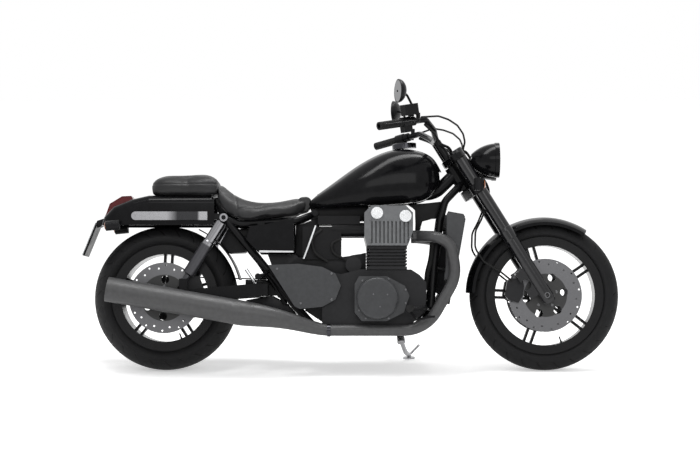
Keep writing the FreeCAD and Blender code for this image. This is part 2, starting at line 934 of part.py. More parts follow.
def controls():
    end, inward, forward, up = grip_frame()
    bore = number("bar_radius") + number("seat_gap")
    gap = number("seat_gap")

    def sleeve(radius, start, length):
        outside = Part.makeCylinder(radius, length, end + inward * start, inward)
        return outside.cut(Part.makeCylinder(bore, length, end + inward * start, inward))

    def placed(item, base):
        """A block built forwards, along the bar and up, with its corner at base."""
        turn = FreeCAD.Rotation(forward, inward, upward, "ZXY")
        item.Placement = FreeCAD.Placement(base, turn)
        return item

    upward = forward.cross(inward)
    grip = sleeve(number("grip_radius"), 0, number("grip_length"))
    node("grips", feature("grips", Part.makeCompound(both_sides(grip))), FORK)
    start = number("grip_length") + gap
    housing = sleeve(number("switch_radius"), start, number("switch_length"))
    drop = number("switch_radius") + 20
    pod_base = end + inward * start - forward * 15 - upward * drop
    pod = placed(Part.makeBox(30, number("switch_length"), drop - bore), pod_base)
    housing = housing.fuse(pod).removeSplitter()
    node("switch_housings", feature("switch_housings", Part.makeCompound(both_sides(housing))), FORK)
    perch_start = start + number("switch_length") + gap
    perch = sleeve(number("switch_radius") - 3, perch_start, 24)
    root = end + inward * (perch_start + 12)
    knuckle = root + forward * (number("lever_gap") * 0.72)
    arm = Part.makeCylinder(9, number("lever_gap") * 0.72 - bore - 2, root + forward * (bore + 2), forward)
    blade_line = [
        knuckle,
        knuckle - inward * 34 + forward * 16,
        end + inward * 40 + forward * number("lever_gap"),
        end + inward * 8 + forward * (number("lever_gap") - 8),
    ]
    blade = bent_tube([tuple(p) for p in blade_line], number("lever_thickness") / 2 + 1, 40)
    knob = Part.makeSphere(7, blade_line[-1])
    hinge = Part.makeCylinder(11, 16, knuckle - up * 8, up)
    lever = perch.fuse([arm, blade, knob, hinge])
    node("levers", feature("levers", Part.makeCompound(both_sides(lever.removeSplitter()))), FORK)
    length, width, height = (number("reservoir_" + size) for size in ("length", "width", "height"))
    clamp_top = number("switch_radius") - 3 + gap
    floor = number("switch_radius") + 4
    box = Part.makeBox(width, length, height)
    box = box.makeFillet(8, [e for e in box.Edges if e.BoundBox.ZLength > height - 1])
    box = placed(box, root + upward * floor - inward * (length * 0.72) - forward * 8)
    neck_base = root + upward * clamp_top - inward * 10 - forward * 8
    neck = placed(Part.makeBox(16, 20, floor - clamp_top + 2), neck_base)
    node("brake_reservoir", feature("brake_reservoir", box.fuse(neck).removeSplitter()), FORK)


def mirrors():
    """A shell on a stalk that stands up from each grip's inner end and leans out to the mirror."""
    end, inward, forward, up = grip_frame()
    root_at = number("grip_length") + number("switch_length") + 46
    root = end + inward * root_at + up * (number("bar_radius") - 1)
    level = FORK.inverse().Rotation
    rise = [(-16, 0, 34), (-46, -10, 92), (-58, -16, 100)]
    head = root + level.multVec(vector(-86, -60, 104))
    line = [root + up * 2] + [root + level.multVec(vector(*step)) for step in rise] + [head]
    stalk = bent_tube([tuple(point) for point in line], number("mirror_stalk_radius"), 24)
    boss = Part.makeCylinder(9, 22, root - up * 2, up)
    axis_point = root - up * (number("bar_radius") - 1) - inward * 30
    clip = Part.makeCylinder(number("bar_radius") + number("seat_gap"), 60, axis_point, inward)
    arm = stalk.fuse(boss).cut(clip)
    turn = FreeCAD.Placement(head, level.multiply(FreeCAD.Rotation(vector(0, 0, 1), 12)))
    shell = Part.makeSphere(1)
    scale = FreeCAD.Matrix()
    scale.scale(number("mirror_depth"), number("mirror_width") / 2, number("mirror_height") / 2)
    shell = shell.transformGeometry(scale)
    back_off = Part.makeBox(200, 400, 400, vector(-200, -200, -200))
    shell = shell.cut(back_off)
    shell.Placement = turn
    whole = arm.fuse(shell)
    node("mirrors", feature("mirrors", Part.makeCompound(both_sides(whole))), FORK)


def lamp_frame():
    """The right headlamp's frame: its axis points straight ahead and its origin is the rear of the bowl."""
    level = FORK.inverse().Rotation.multiply(FreeCAD.Rotation(vector(0, 1, 0), 90))
    centre = vector(S["lamp_reach"], S["lamp_spacing"] / -2, S["lamp_height"])
    ahead = FORK.inverse().Rotation.multVec(vector(1, 0, 0))
    return FreeCAD.Placement(centre - ahead * (number("lamp_depth") / 2), level)


def headlamps():
    r, depth, wall = S["lamp_radius"], S["lamp_depth"], S["lamp_wall"]
    bowl = new_body("lamp_bowl")
    sketch = new_sketch(bowl, "XZ_Plane")
    rim_start = depth - S["lamp_rim"]
    draw_outline(
        sketch,
        [
            (0, 0),
            (r * 0.35, 0),
            (r - 3, rim_start),
            (r, rim_start + 2),
            (r, depth),
            (r - wall * 2, depth),
            (r - wall * 2, rim_start),
            (r * 0.3, wall + 6),
            (0, wall + 6),
        ],
        {1: (r * 2.1, 1), 6: (r * 2.1, -1)},
    )
    revolve(bowl, sketch, "Z_Axis")
    bowl.Placement = lamp_frame()
    node("headlamp_bowls", pair("headlamp_bowls", bowl), FORK)
    lens = new_body("lamp_lens")
    sketch = new_sketch(lens, "XZ_Plane")
    edge = r - wall * 2 - GAP
    t, bulge = S["lens_thickness"], 10
    dome = (edge * edge + bulge * bulge) / (2 * bulge)
    draw_outline(
        sketch,
        [(0, depth + bulge - 8), (edge, depth - 8), (edge, depth - 8 + t), (0, depth + bulge - 8 + t)],
        {0: (dome, -1), 2: (dome, 1)},
    )
    revolve(lens, sketch, "Z_Axis")
    lens.Placement = lamp_frame()
    node("headlamp_lenses", pair("headlamp_lenses", lens), FORK)


def lamp_bracket():
    """A plate on the lower yoke with two bent arms, each of which carries a headlamp by its rear."""
    floor = number("lower_yoke_height") + number("lower_yoke_thickness") / 2 + number("seat_gap")
    shape = Part.makeBox(30, 2 * 80, 6, vector(-6, -80, floor))
    rear = lamp_frame().Base
    ahead = FORK.inverse().Rotation.multVec(vector(1, 0, 0))
    arm_x, arm_y = 10, number("lamp_spacing") / 2 - 19
    elbow = rear - ahead * ((rear.x - arm_x) / ahead.x)
    reach = (rear - elbow).Length - number("seat_gap")
    for side in (-1, 1):
        post = Part.makeCylinder(8, elbow.z - floor, vector(arm_x, side * arm_y, floor))
        arm = Part.makeCylinder(8, reach, vector(arm_x, side * arm_y, elbow.z), ahead)
        ball = Part.makeSphere(8, vector(arm_x, side * arm_y, elbow.z))
        shape = shape.fuse([post, arm, ball])
    node("lamp_bracket", feature("lamp_bracket", shape.removeSplitter()), FORK)


def front_fender():
    body = new_body("front_fender")
    sketch = new_sketch(body, "XY_Plane")
    half, t = S["fender_width"] / 2, S["fender_thickness"]
    edge, outer = S["fender_side_radius"], S["fender_radius"]
    shoulder = outer - 24
    draw_outline(
        sketch,
        [
            (edge, -half),
            (shoulder, -half),
            (shoulder, half),
            (edge, half),
            (edge, half - t),
            (shoulder - t / 2, half - t),
            (shoulder - t / 2, t - half),
            (edge, t - half),
        ],
        {1: ((half * half + 24 * 24) / 48, 1), 5: ((half * half + 24 * 24) / 48, -1)},
    )
    revolve(body, sketch, "Y_Axis", S["fender_sweep"])
    start = number("fender_front_angle") - number("rake_angle")
    turn = FreeCAD.Rotation(vector(0, 1, 0), -start - number("fender_sweep"))
    body.Placement = FreeCAD.Placement(vector(0, 0, 0), turn)
    tab_length = (S["leg_spacing"] - S["fender_width"]) / 2 - S["slider_radius"]
    tabs = [
        block(
            f"fender_tab_{side}",
            34,
            tab_length - GAP + 1,
            40,
            (-17, half - 1 if side > 0 else -half - tab_length + GAP, S["slider_length"] - 50),
        )
        for side in (-1, 1)
    ]
    node("front_fender", fuse("front_fender_whole", [body] + tabs), FORK)


def caliper(name, plane, shift, reach, angle):
    """A brake caliper that straddles its disc, in a frame whose origin is the axle."""
    body = new_body(name)
    sketch = new_sketch(body, "XZ_Plane", plane + shift)
    r = S["disc_radius"]
    draw_outline(
        sketch,
        [
            (r * 0.70, -52),
            (r * 0.98, -46),
            (r + 15, -30),
            (r + 15, 30),
            (r * 0.98, 46),
            (r * 0.70, 52),
            (r * 0.62, 20),
            (r * 0.62, -20),
        ],
    )
    pad(body, sketch, reach, symmetric=True)
    slot = new_sketch(body, "XZ_Plane", plane)
    draw_circle(slot, (0, 0), r + 6)
    pocket(body, slot, S["disc_thickness"] + 10, symmetric=True)
    doc.recompute()
    body.Placement = FreeCAD.Placement(vector(0, 0, 0), FreeCAD.Rotation(vector(0, 1, 0), -angle))
    return body


def front_calipers():
    near = caliper("front_caliper", disc_plane("front"), -3, 48, 138)
    node("front_calipers", pair("front_calipers", near), FORK)


def front_indicators():
    half = S["leg_spacing"] / 2 + S["cover_radius"] + S["yoke_rim"]
    stem = cylinder("front_indicator_stem", 7, 22, (0, -half - GAP, S["lower_yoke_height"]), (0, -1, 0))
    pod = cylinder(
        "front_indicator_pod",
        S["indicator_radius"],
        S["indicator_length"],
        (-12, -half - 38, S["lower_yoke_height"] - 14),
        (0.53, 0, 0.848),
    )
    node("front_indicators", pair("front_indicators", fuse("front_indicator", [stem, pod])), FORK)


def brake_hoses():
    """On each side a hose from the hand control, round the lamps and down behind the leg to its caliper."""
    end, inward, forward, up = grip_frame()
    low, high = number("lower_yoke_height"), number("upper_yoke_height")
    at = vector(STEM_X, 0, high)
    level = FORK.inverse().Rotation
    arch = [(-56, -250, 176), (-12, -215, 165), (28, -170, 145), (55, -120, 114), (65, -84, 82)]
    arch.append((56, -56, 46))
    start = end + inward * 190 + forward * 44 + up * 12
    points = [tuple(start)] + [tuple(at + level.multVec(vector(*step))) for step in arch]
    points += [(48, -16, high + 4), (48, -16, low - 20), (18, -70, low - 62)]
    points += [(-62, -105, low - 122), (-110, -110, 390), (-150, -110, 330)]
    points += [(-150, -108, 262), (-112, -104, 190)]
    points.append((-90, -95.1, 128))
    hose = bent_tube(points, 4, 60)
    node("brake_hoses", feature("brake_hoses", Part.makeCompound(both_sides(hose))), FORK)


# Chassis


def head_point(along, back=0.0):
    """A point on the steering axis, so far up the fork's frame, or so far behind the axis."""
    return on_fork(STEM_X - back, 0, along)


def frame_tubes():
    r = number("frame_tube_radius")
    low, high = number("lower_yoke_height"), number("upper_yoke_height")
    head_low = low + number("lower_yoke_thickness") / 2 + 5
    head_high = high - number("upper_yoke_thickness") / 2 - 5
    ceiling = head_high - head_low
    start = head_point(head_low + 28)
    side, strut = number("cradle_half_width"), number("strut_half_width")
    waist = number("pivot_half_width")
    floor = number("cradle_height")
    top = vector(aft(S["shock_top_ahead"]), 0, S["shock_top_z"])
    down = [
        (start.x, -18, start.z),
        (start.x - 74, -40, start.z - 78),
        (start.x - 96, -52, start.z - 160),
        (336, -62, 440),
        (318, -108, 250),
        (270, -side, floor),
        (-170, -side, floor),
        (-258, -waist, 276),
        (-384, -waist, 436),
        (top.x, -strut, top.z),
    ]
    loop = bent_tube(down, r, 70)
    axis = (head_point(1) - head_point(0)).normalize()
    head = Part.makeCylinder(number("head_tube_radius"), ceiling, head_point(head_low), axis)
    bore = Part.makeCylinder(
        number("stem_radius") + number("axle_clearance"), ceiling + 4, head_point(head_low - 2), axis
    )
    spine_start = head_point(head_high - 34)
    spine = bent_tube(
        [
            (spine_start.x, 0, spine_start.z),
            (spine_start.x - 90, 0, spine_start.z - 88),
            (0, 0, 744),
            (-190, 0, 682),
        ],
        number("spine_radius"),
        90,
    )
    sweep = [(-172, -20, 672), (-250, -86, 638), (-400, -strut, 627.7), (-490, -strut, 622.7)]
    rail = bent_tube(sweep + [(top.x, -strut, top.z)], r * 0.85, 60)
    shapes = both_sides(loop) + both_sides(rail) + [spine]

    def cross(x, z, half, radius=None):
        radius = radius or r * 0.8
        return Part.makeCylinder(radius, 2 * half, vector(x, -half, z), vector(0, 1, 0))

    shapes.append(cross(-172, 672, 60))
    shapes.append(cross(304, 208, side - 14))
    shapes.append(cross(-170, floor, side))
    shapes.append(cross(top.x, top.z, number("shock_offset") + 24, 9))
    shapes.append(cross(number("pivot_x"), number("pivot_z"), waist + 14, number("pivot_bolt_radius")))
    outline = ((-356, 384), (-330, 310), (-268, 292), (-240, 330), (-246, 376), (-300, 400), (-356, 384))
    plate = Part.Face(Part.makePolygon([vector(x, -waist - 7, z) for x, z in outline]))
    shapes += both_sides(plate.extrude(vector(0, 14, 0)))
    gap = number("seat_gap")
    fender_inside = number("rear_fender_half_width") - number("rear_fender_thickness") - gap
    shapes += both_sides(Part.makeBox(210, 14, 26, vector(top.x - 200, -fender_inside, top.z - 6)))
    panel_face = strut + r
    shapes += both_sides(Part.makeBox(30, panel_face - strut + 8, 58, vector(-415, -panel_face, 574)))
    saddle = number("tunnel_top") - gap
    shapes.append(Part.makeBox(70, 40, 40, vector(46, -20, saddle - 40)))
    shapes += both_sides(radiator_tab(-54, 610))
    shapes += both_sides(radiator_tab(-62, 440))
    stand_x, stand_z = number("stand_pivot_x"), number("stand_pivot_z")
    hinge_axis, _ = stand_axis()
    pivot = vector(stand_x, S["stand_pivot_y"], stand_z)
    shapes.append(Part.makeCylinder(16, 12, pivot + hinge_axis * (10 + gap), hinge_axis))
    shapes.append(Part.makeBox(32, 28, 26, vector(stand_x - 16, pivot.y - 10, stand_z + 22)))
    whole = head.fuse(shapes).cut(bore)
    node("frame", feature("frame", whole.removeSplitter()))


def radiator_frame():
    """The radiator's frame: X out of its front and Z up its height."""
    return FreeCAD.Placement(vector(366, 0, 288), FreeCAD.Rotation(vector(0, 1, 0), 10))


def radiator_tab(y, z):
    """A stub from the down tube to the radiator's back."""
    plane = radiator_frame()
    ahead = plane.Rotation.multVec(vector(1, 0, 0))
    start = vector(332 + (z - 440) * 0.13, y, z)
    reach = (plane.Base - start).dot(ahead) - number("seat_gap")
    return Part.makeCylinder(7, reach, start, ahead)


def swingarm():
    px, pz = number("pivot_x"), number("pivot_z")
    half = number("pivot_half_width") - number("frame_tube_radius") - number("seat_gap")
    rear = REAR_AXLE
    bolt = number("pivot_bolt_radius") + number("seat_gap")
    tube = Part.makeCylinder(28, 2 * half, vector(px, -half, pz), vector(0, 1, 0))
    arm_y, w, h = number("arm_offset"), number("arm_width"), number("arm_height")
    brace_x = -398
    brace_z = pz - 8
    brace = Part.makeBox(56, 2 * arm_y + w, h * 0.9, vector(brace_x - 28, -arm_y - w / 2, brace_z - h * 0.45))
    shapes = [brace]
    for side in (-1, 1):
        inner = Part.makeBox(px - brace_x, 40, h * 0.8, vector(brace_x, side * 46 - 20, brace_z - h * 0.4))
        shapes.append(inner)
        profile = [
            (brace_x, brace_z - h / 2),
            (brace_x, brace_z + h / 2),
            (rear.x - 30, rear.z + h * 0.42),
            (rear.x - 52, rear.z + h * 0.2),
            (rear.x - 52, rear.z - h * 0.2),
            (rear.x - 30, rear.z - h * 0.42),
        ]
        outline = [vector(x, side * arm_y - w / 2, z) for x, z in profile]
        arm = Part.Face(Part.makePolygon(outline + outline[:1])).extrude(vector(0, w, 0))
        shapes.append(arm)
        foot = vector(aft(S["shock_foot_ahead"]), 0, S["shock_foot_z"])
        lug_y = number("shock_offset") + 15 + 5
        lug = Part.makeBox(34, 8, 64, vector(foot.x - 17, side * lug_y - 4, foot.z - 52))
        base = Part.makeBox(34, 22, 20, vector(foot.x - 17, side * (lug_y - 7) - 11, foot.z - 58))
        pin = Part.makeCylinder(8, 36, vector(foot.x, side * lug_y, foot.z), vector(0, -side, 0))
        shapes += [lug, base, pin]
    whole = tube.fuse(shapes)
    whole = whole.cut(Part.makeCylinder(bolt, 2 * half + 4, vector(px, -half - 2, pz), vector(0, 1, 0)))
    fit = number("axle_radius") + number("seat_gap")
    axle_hole = Part.makeCylinder(fit, 800, vector(rear.x, -400, rear.z), vector(0, 1, 0))
    whole = whole.cut(axle_hole)
    node("swingarm", feature("swingarm", whole.removeSplitter()))
    length = 2 * (arm_y + w / 2 + 10)
    axle = cylinder("rear_axle", S["axle_radius"], length, (rear.x, length / -2, rear.z), (0, 1, 0))
    node("rear_axle", group("rear_axle_set", [axle]))


def shocks():
    """A sprung damper on each side: top eye, bright upper cover, spring body and foot eye."""
    top = vector(aft(S["shock_top_ahead"]), 0, S["shock_top_z"])
    foot = vector(aft(S["shock_foot_ahead"]), 0, S["shock_foot_z"])
    line = top - foot
    tilt = math.degrees(math.atan2(line.x, line.z))
    length = line.Length
    local = FreeCAD.Placement(foot, FreeCAD.Rotation(vector(0, 1, 0), tilt))
    r, cover = S["shock_body_radius"], S["shock_cover_radius"]
    body = new_body("shock_body")
    sketch = new_sketch(body, "XZ_Plane")
    draw_outline(
        sketch,
        [
            (0, 12),
            (12, 12),
            (12, 34),
            (r, 40),
            (r, length * 0.62),
            (cover, length * 0.62 + 5),
            (cover, length - 24),
            (11, length - 16),
            (11, length - 12),
            (0, length - 12),
        ],
    )
    revolve(body, sketch, "Z_Axis")
    for at in (0, length):
        eye = new_sketch(body, "XZ_Plane")
        draw_circle(eye, (0, at), 17)
        pad(body, eye, 30, symmetric=True)
        hole = new_sketch(body, "XZ_Plane")
        draw_circle(hole, (0, at), 9.3 if at else 8.3)
        pocket(body, hole, 60, symmetric=True)
    body.Placement = FreeCAD.Placement(
        vector(foot.x, -number("shock_offset"), foot.z), local.Rotation
    )
    node("shocks", pair("shocks", body))


# Engine


def side_outline(name, points, thickness, offset):
    """A plate-like body drawn from the side, from offset outwards to the right."""
    body = new_body(name)
    sketch = new_sketch(body, "XZ_Plane", offset)
    draw_outline(sketch, points)
    pad(body, sketch, thickness)
    return body


def crankcase():
    half = S["case_half_width"]
    bottom = S["cradle_height"] + S["frame_tube_radius"] + GAP
    top = S["case_top"]
    body = new_body("crankcase")
    sketch = new_sketch(body, "XZ_Plane")
    draw_outline(
        sketch,
        [
            (-140, bottom),
            (234, bottom),
            (290, bottom + 54),
            (300, bottom + 112),
            (300, bottom + 180),
            (270, top - 22),
            (236, top),
            (20, top),
            (-60, top - 20),
            (-140, top - 6),
        ],
    )
    pad(body, sketch, half * 2, symmetric=True)
    gearbox = new_sketch(body, "XZ_Plane")
    draw_outline(
        gearbox,
        [(-214, bottom + 60), (-130, bottom + 4), (-130, top - 10), (-150, top - 6), (-206, top - 50)],
    )
    pad(body, gearbox, 136, symmetric=True)
    sump = new_sketch(body, "XZ_Plane")
    draw_outline(
        sump,
        [(-120, bottom + 2), (-100, S["sump_bottom"]), (200, S["sump_bottom"]), (230, bottom + 2)],
    )
    pad(body, sump, 190, symmetric=True)
    starter = new_sketch(body, "XZ_Plane")
    draw_circle(starter, (-8, top + 22), S["starter_radius"])
    pad(body, starter, 190, symmetric=True)
    filter_end = new_sketch(body, "YZ_Plane", 290)
    draw_circle(filter_end, (0, bottom + 68), S["oil_filter_radius"])
    pad(body, filter_end, 58)
    node("crankcase", body)


def cylinders():
    body = new_body("cylinder_block")
    top, bottom = S["barrel_top"], S["case_top"] + GAP
    half = S["barrel_half_width"]
    base = new_sketch(body, "XY_Plane", bottom)
    draw_outline(base, [(48, -half), (218, -half), (218, half), (48, half)])
    pad(body, base, top - bottom)
    groove_sketch = new_sketch(body, "XY_Plane", bottom + 12)
    outer = half + 20
    inner = half - 12
    draw_outline(groove_sketch, [(0, -outer), (260, -outer), (260, outer), (0, outer)])
    draw_outline(groove_sketch, [(60, -inner), (206, -inner), (206, inner), (60, inner)])
    fin_gap = pocket(body, groove_sketch, 7, other_way=True)
    repeat_along(body, [fin_gap], "Z_Axis", top - bottom - 32, 6)
    node("cylinder_block", body)


def cylinder_head():
    body = new_body("cylinder_head")
    half, rear, front = S["head_half_width"], S["head_rear"], S["head_front"]
    bottom, top = S["barrel_top"] + GAP, S["head_top"]
    sketch = new_sketch(body, "XZ_Plane")
    draw_outline(
        sketch,
        [
            (rear + 10, bottom),
            (front - 22, bottom),
            (front, bottom + 60),
            (front, top - 30),
            (front - 30, top),
            (rear + 30, top),
            (rear, top - 30),
            (rear, bottom + 40),
        ],
    )
    pad(body, sketch, half * 2, symmetric=True)
    flute = new_sketch(body, "XY_Plane", bottom + 10)
    start = rear + 28
    width, deep = S["flute_width"], half - 14
    for side in (-1, 1):
        y0, y1 = (deep, half + 10) if side > 0 else (-half - 10, -deep)
        draw_outline(flute, [(start, y0), (start + width, y0), (start + width, y1), (start, y1)])
    flutes = pocket(body, flute, 92, other_way=True)
    repeat_along(body, [flutes], "X_Axis", S["flute_pitch"] * 9, 10)
    node("cylinder_head", body)
    caps = []
    for index, (x, z) in enumerate(((number("head_rear") + 53, 665), (number("head_front") - 32, 652))):
        caps.append(
            cylinder(f"cam_cap_{index}", S["cam_cap_radius"], 12, (x, -half - GAP, z), (0, -1, 0))
        )
    caps += [mirrored(c) for c in caps]
    node("cam_caps", group("cam_caps", caps))


def engine_covers():
    inner = S["case_half_width"] + GAP
    out = S["cover_offset"] - inner
    x, z, r = S["clutch_cover_x"], S["clutch_cover_z"], S["clutch_cover_radius"]
    clutch = new_body("clutch_cover")
    sketch = new_sketch(clutch, "XZ_Plane", inner)
    draw_outline(
        sketch,
        [
            (x - r, z + 60),
            (x - r + 18, z + 92),
            (x + 40, z + 92),
            (x + r + 20, z + 52),
            (x + r + 40, z + 10),
            (x + r + 16, z - 60),
            (x + 40, z - 96),
            (x - r + 30, z - 96),
            (x - r, z - 60),
        ],
    )
    slab = pad(clutch, sketch, out * 0.6)
    dome = new_sketch(clutch, "XZ_Plane", inner + out * 0.6 - 1)
    draw_circle(dome, (x, z), r - 8)
    cap = pad(clutch, dome, out * 0.4 + 1)
    round_edges(
        clutch,
        cap,
        10,
        lambda e: abs(e.BoundBox.YLength) < 1e-6 and abs(e.BoundBox.YMin + float(S["cover_offset"])) < 0.5,
    )
    node("clutch_cover", clutch)
    left = new_body("alternator_cover")
    sketch = new_sketch(left, "XZ_Plane", -inner)
    draw_circle(sketch, (x + 30, z), r)
    disc = pad(left, sketch, out * 0.8, other_way=True)
    round_edges(
        left,
        disc,
        14,
        lambda e: abs(e.BoundBox.YLength) < 1e-6 and e.BoundBox.YMin > float(inner) + 10,
    )
    node("alternator_cover", left)
    teardrop = [
        (-368, 446),
        (-240, 451),
        (-140, 438),
        (-84, 410),
        (-61, 360),
        (-84, 300),
        (-140, 270),
        (-234, 261),
        (-256, 272),
    ]
    low = side_outline("lower_cover", teardrop, 24, inner)
    node("lower_side_covers", pair("lower_side_covers", low))
    high = [(-462, 556), (-446, 612), (-394, 617), (-262, 645), (-258, 500), (-410, 500)]
    on_frame = S["strut_half_width"] + S["frame_tube_radius"] + GAP
    panel = side_outline("upper_panel", high, 12, on_frame)
    node("upper_side_panels", pair("upper_side_panels", panel))


def intake():
    """The airbox under the tank with its two throttle bodies, seated on the head's rear."""
    box = block("airbox_core", 165, 180, 140, (-225, -90, 472))
    shelf = block("airbox_top", 180, 170, 36, (-160, -85, 622))
    reach = S["head_rear"] + 100 - GAP
    level = S["barrel_top"] + 72
    throats = [
        cylinder(f"throttle_{side}", 30, reach, (-100, 62 * side, level), (1, 0, 0)) for side in (-1, 1)
    ]
    node("intake", fuse("intake", [box, shelf] + throats))


def radiator():
    """The finned core with the fan's shroud behind it, and a smooth cowl over each end."""
    body = new_body("radiator")
    t, half, length = S["radiator_thickness"], S["radiator_half_width"], S["radiator_length"]
    sketch = new_sketch(body, "XY_Plane")
    draw_outline(sketch, [(0, -half), (t, -half), (t, half), (0, half)])
    pad(body, sketch, length)
    shroud = new_sketch(body, "XZ_Plane")
    back = S["shroud_depth"]
    draw_outline(shroud, [(1, 26), (-back, 48), (-back, length - 98), (1, length - 60)])
    pad(body, shroud, S["shroud_half_width"] * 2, symmetric=True)
    slot = new_sketch(body, "XZ_Plane")
    draw_outline(slot, [(t - 6, 22), (t + 4, 22), (t + 4, 30), (t - 6, 30)])
    gap = pocket(body, slot, half * 2 - 40, symmetric=True)
    repeat_along(body, [gap], "Z_Axis", length - 52, 24)
    node("radiator", body, radiator_frame())
    cowl = new_body("radiator_cowl")
    sketch = new_sketch(cowl, "XZ_Plane", half + GAP)
    draw_outline(
        sketch,
        [
            (-8, 96),
            (t + 4, 96),
            (t + 4, length - 14),
            (t - 8, length + 6),
            (-40, length + 6),
            (-46, length - 14),
            (-30, length * 0.7),
            (-12, length * 0.42),
        ],
    )
    plate = pad(cowl, sketch, S["cowl_thickness"])
    outer = -float(half) - float(GAP) - float(S["cowl_thickness"])
    round_edges(
        cowl,
        plate,
        7,
        lambda e: e.BoundBox.YLength < 1e-6 and abs(e.BoundBox.YMin - outer) < 0.5,
    )
    node("radiator_cowls", pair("radiator_cowls", cowl), radiator_frame())


# Exhaust


def exhaust():
    r, y, z = number("pipe_radius"), number("pipe_offset"), number("pipe_height")
    port_x = number("head_front") + number("seat_gap")
    port_z = number("barrel_top") + 44
    front = port_x + number("header_reach") - number("seat_gap")
    line = [
        (port_x, -92, port_z),
        (port_x + 26, -92, port_z),
        (port_x + 98, -y + 6, port_z - 6),
        (front - 14, -y, port_z - 34),
        (front + 12, -y, port_z - 172),
        (front - 119, -y, z),
        (-100, -y, z),
    ]
    pipe = bent_tube(line, r, 160)
    node("exhaust_pipes", feature("exhaust_pipes", Part.makeCompound(both_sides(pipe))))
    far = number("muffler_offset")
    front = vector(S["muffler_front_x"], -far, S["muffler_front_z"])
    rear = vector(aft(-S["muffler_tail"]), -far, S["muffler_rear_z"])
    along = (rear - front).normalize()
    radius = number("muffler_radius")
    stations = [
        (vector(-100 - number("seat_gap"), -y, z), vector(-1, 0, 0), r),
        (vector(-190, -y - 8, z + 15), vector(-1, -0.13, 0.24), r * 1.2),
        (vector(-270, -y - 24, z + 37), vector(-1, -0.2, 0.24), 35),
        (vector(-356, -far + 14, z + 55), vector(-1, -0.16, 0.18), 43),
        (front, along, radius),
        (front + along * 60, along, radius),
    ]
    cone = smooth_loft([ring(*s) for s in stations])
    can = Part.makeCylinder(radius, (rear - front).Length - 60, front + along * 60, along)
    outlet = Part.makeCylinder(radius * 0.62, 46, rear + along * 2, along * -1)
    whole = cone.fuse(can).cut(outlet).removeSplitter()
    node("mufflers", feature("mufflers", Part.makeCompound(both_sides(whole))))


# Tank, seat and tail


def fuel_tank():
    w, top, bottom = number("tank_half_width"), number("tank_top"), number("tank_bottom")
    stations = [
        (374, w * 0.2, top - 156, top - 102),
        (350, w * 0.41, top - 178, top - 58),
        (318, w * 0.7, bottom + 34, top - 26),
        (240, w * 0.93, bottom + 8, top - 2),
        (130, w, bottom, top - 12),
        (20, w * 0.95, bottom - 2, top - 66),
        (-80, w * 0.76, bottom - 6, top - 136),
        (-160, w * 0.5, bottom - 10, top - 194),
        (-206, w * 0.22, bottom - 6, top - 228),
    ]
    shape = smooth_loft([section_wire(x, half, low, high, TANK_SIDE) for x, half, low, high in stations])
    tunnel_half, roof = number("tunnel_half_width"), number("tunnel_top")
    slope = [(-230, -180), (-230, -42), (30, 0), (130, 0), (300, 54), (420, 76), (420, -180)]
    outline = [vector(x, -tunnel_half, roof + rise) for x, rise in slope]
    tunnel = Part.Face(Part.makePolygon(outline + outline[:1])).extrude(vector(0, 2 * tunnel_half, 0))
    shape = shape.cut(tunnel)
    node("fuel_tank", feature("fuel_tank", max(shape.Solids, key=lambda s: s.Volume)))
    dial_base = (212, 0, S["tank_top"] + 1.8)
    dial = cylinder("dial_pod", S["dial_radius"], S["dial_height"], dial_base, (-0.07, 0, 1))
    node("tank_dial", group("tank_dial_set", [dial]))


def seat():
    w = number("seat_half_width")
    stations = [
        (aft(228), w * 0.62, 735, 806),
        (aft(265), w * 0.78, 672, 762),
        (-480, w * 0.96, 640, 724),
        (-400, w, 645, 708),
        (-315, w * 0.86, 655, 715),
        (-250, w * 0.56, 668, 733),
        (-212, w * 0.3, 690, 742),
    ]
    shape = smooth_loft([section_wire(x, half, low, high, SEAT_SIDE) for x, half, low, high in stations])
    node("rider_seat", feature("rider_seat", shape))
    half, front, length = number("pad_half_width"), aft(224), number("pad_length")
    base = number("rear_fender_top") + number("seat_gap")
    stations = [
        (front, half * 0.9, base, 812),
        (front - 24, half, base, 826),
        (front - length * 0.5, half, base, 828),
        (front - length + 34, half * 0.9, base, 822),
        (front - length, half * 0.62, base, 796),
    ]
    shape = smooth_loft([section_wire(x, h, low, high, SEAT_SIDE) for x, h, low, high in stations])
    node("pillion_pad", feature("pillion_pad", shape))


def rear_fender():
    """A deep, hollow fender: the outline from the side, rounded across and open below."""
    half, t = number("rear_fender_half_width"), number("rear_fender_thickness")
    top, edge = number("rear_fender_top"), number("rear_fender_edge")

    def shell(inset, below):
        points = [
            (aft(210), edge - below),
            (aft(210), top - inset),
            (aft(-70), top - inset),
            (aft(-140), top - 16 - inset),
            (aft(-220) + inset, top - 48),
            (aft(-260) + inset, top - 92),
            (aft(-272) + inset, edge - below),
        ]
        outline = [vector(x, -half + inset, z) for x, z in points]
        solid = Part.Face(Part.makePolygon(outline + outline[:1])).extrude(vector(0, 2 * (half - inset), 0))
        return solid.makeFillet(34 - inset, [e for e in solid.Edges if along_top(e.BoundBox)])

    def along_top(box):
        along = box.YLength < 1e-6 and box.XLength > 1e-6
        return along and box.ZMax > edge + 30

    hollow = shell(0, 0).cut(shell(t, 10))
    hollow = hollow.cut(Part.makeBox(20, 2 * (half - t), 200, vector(aft(198), -half + t, edge - 20)))
    node("rear_fender", feature("rear_fender", max(hollow.Solids, key=lambda s: s.Volume)))


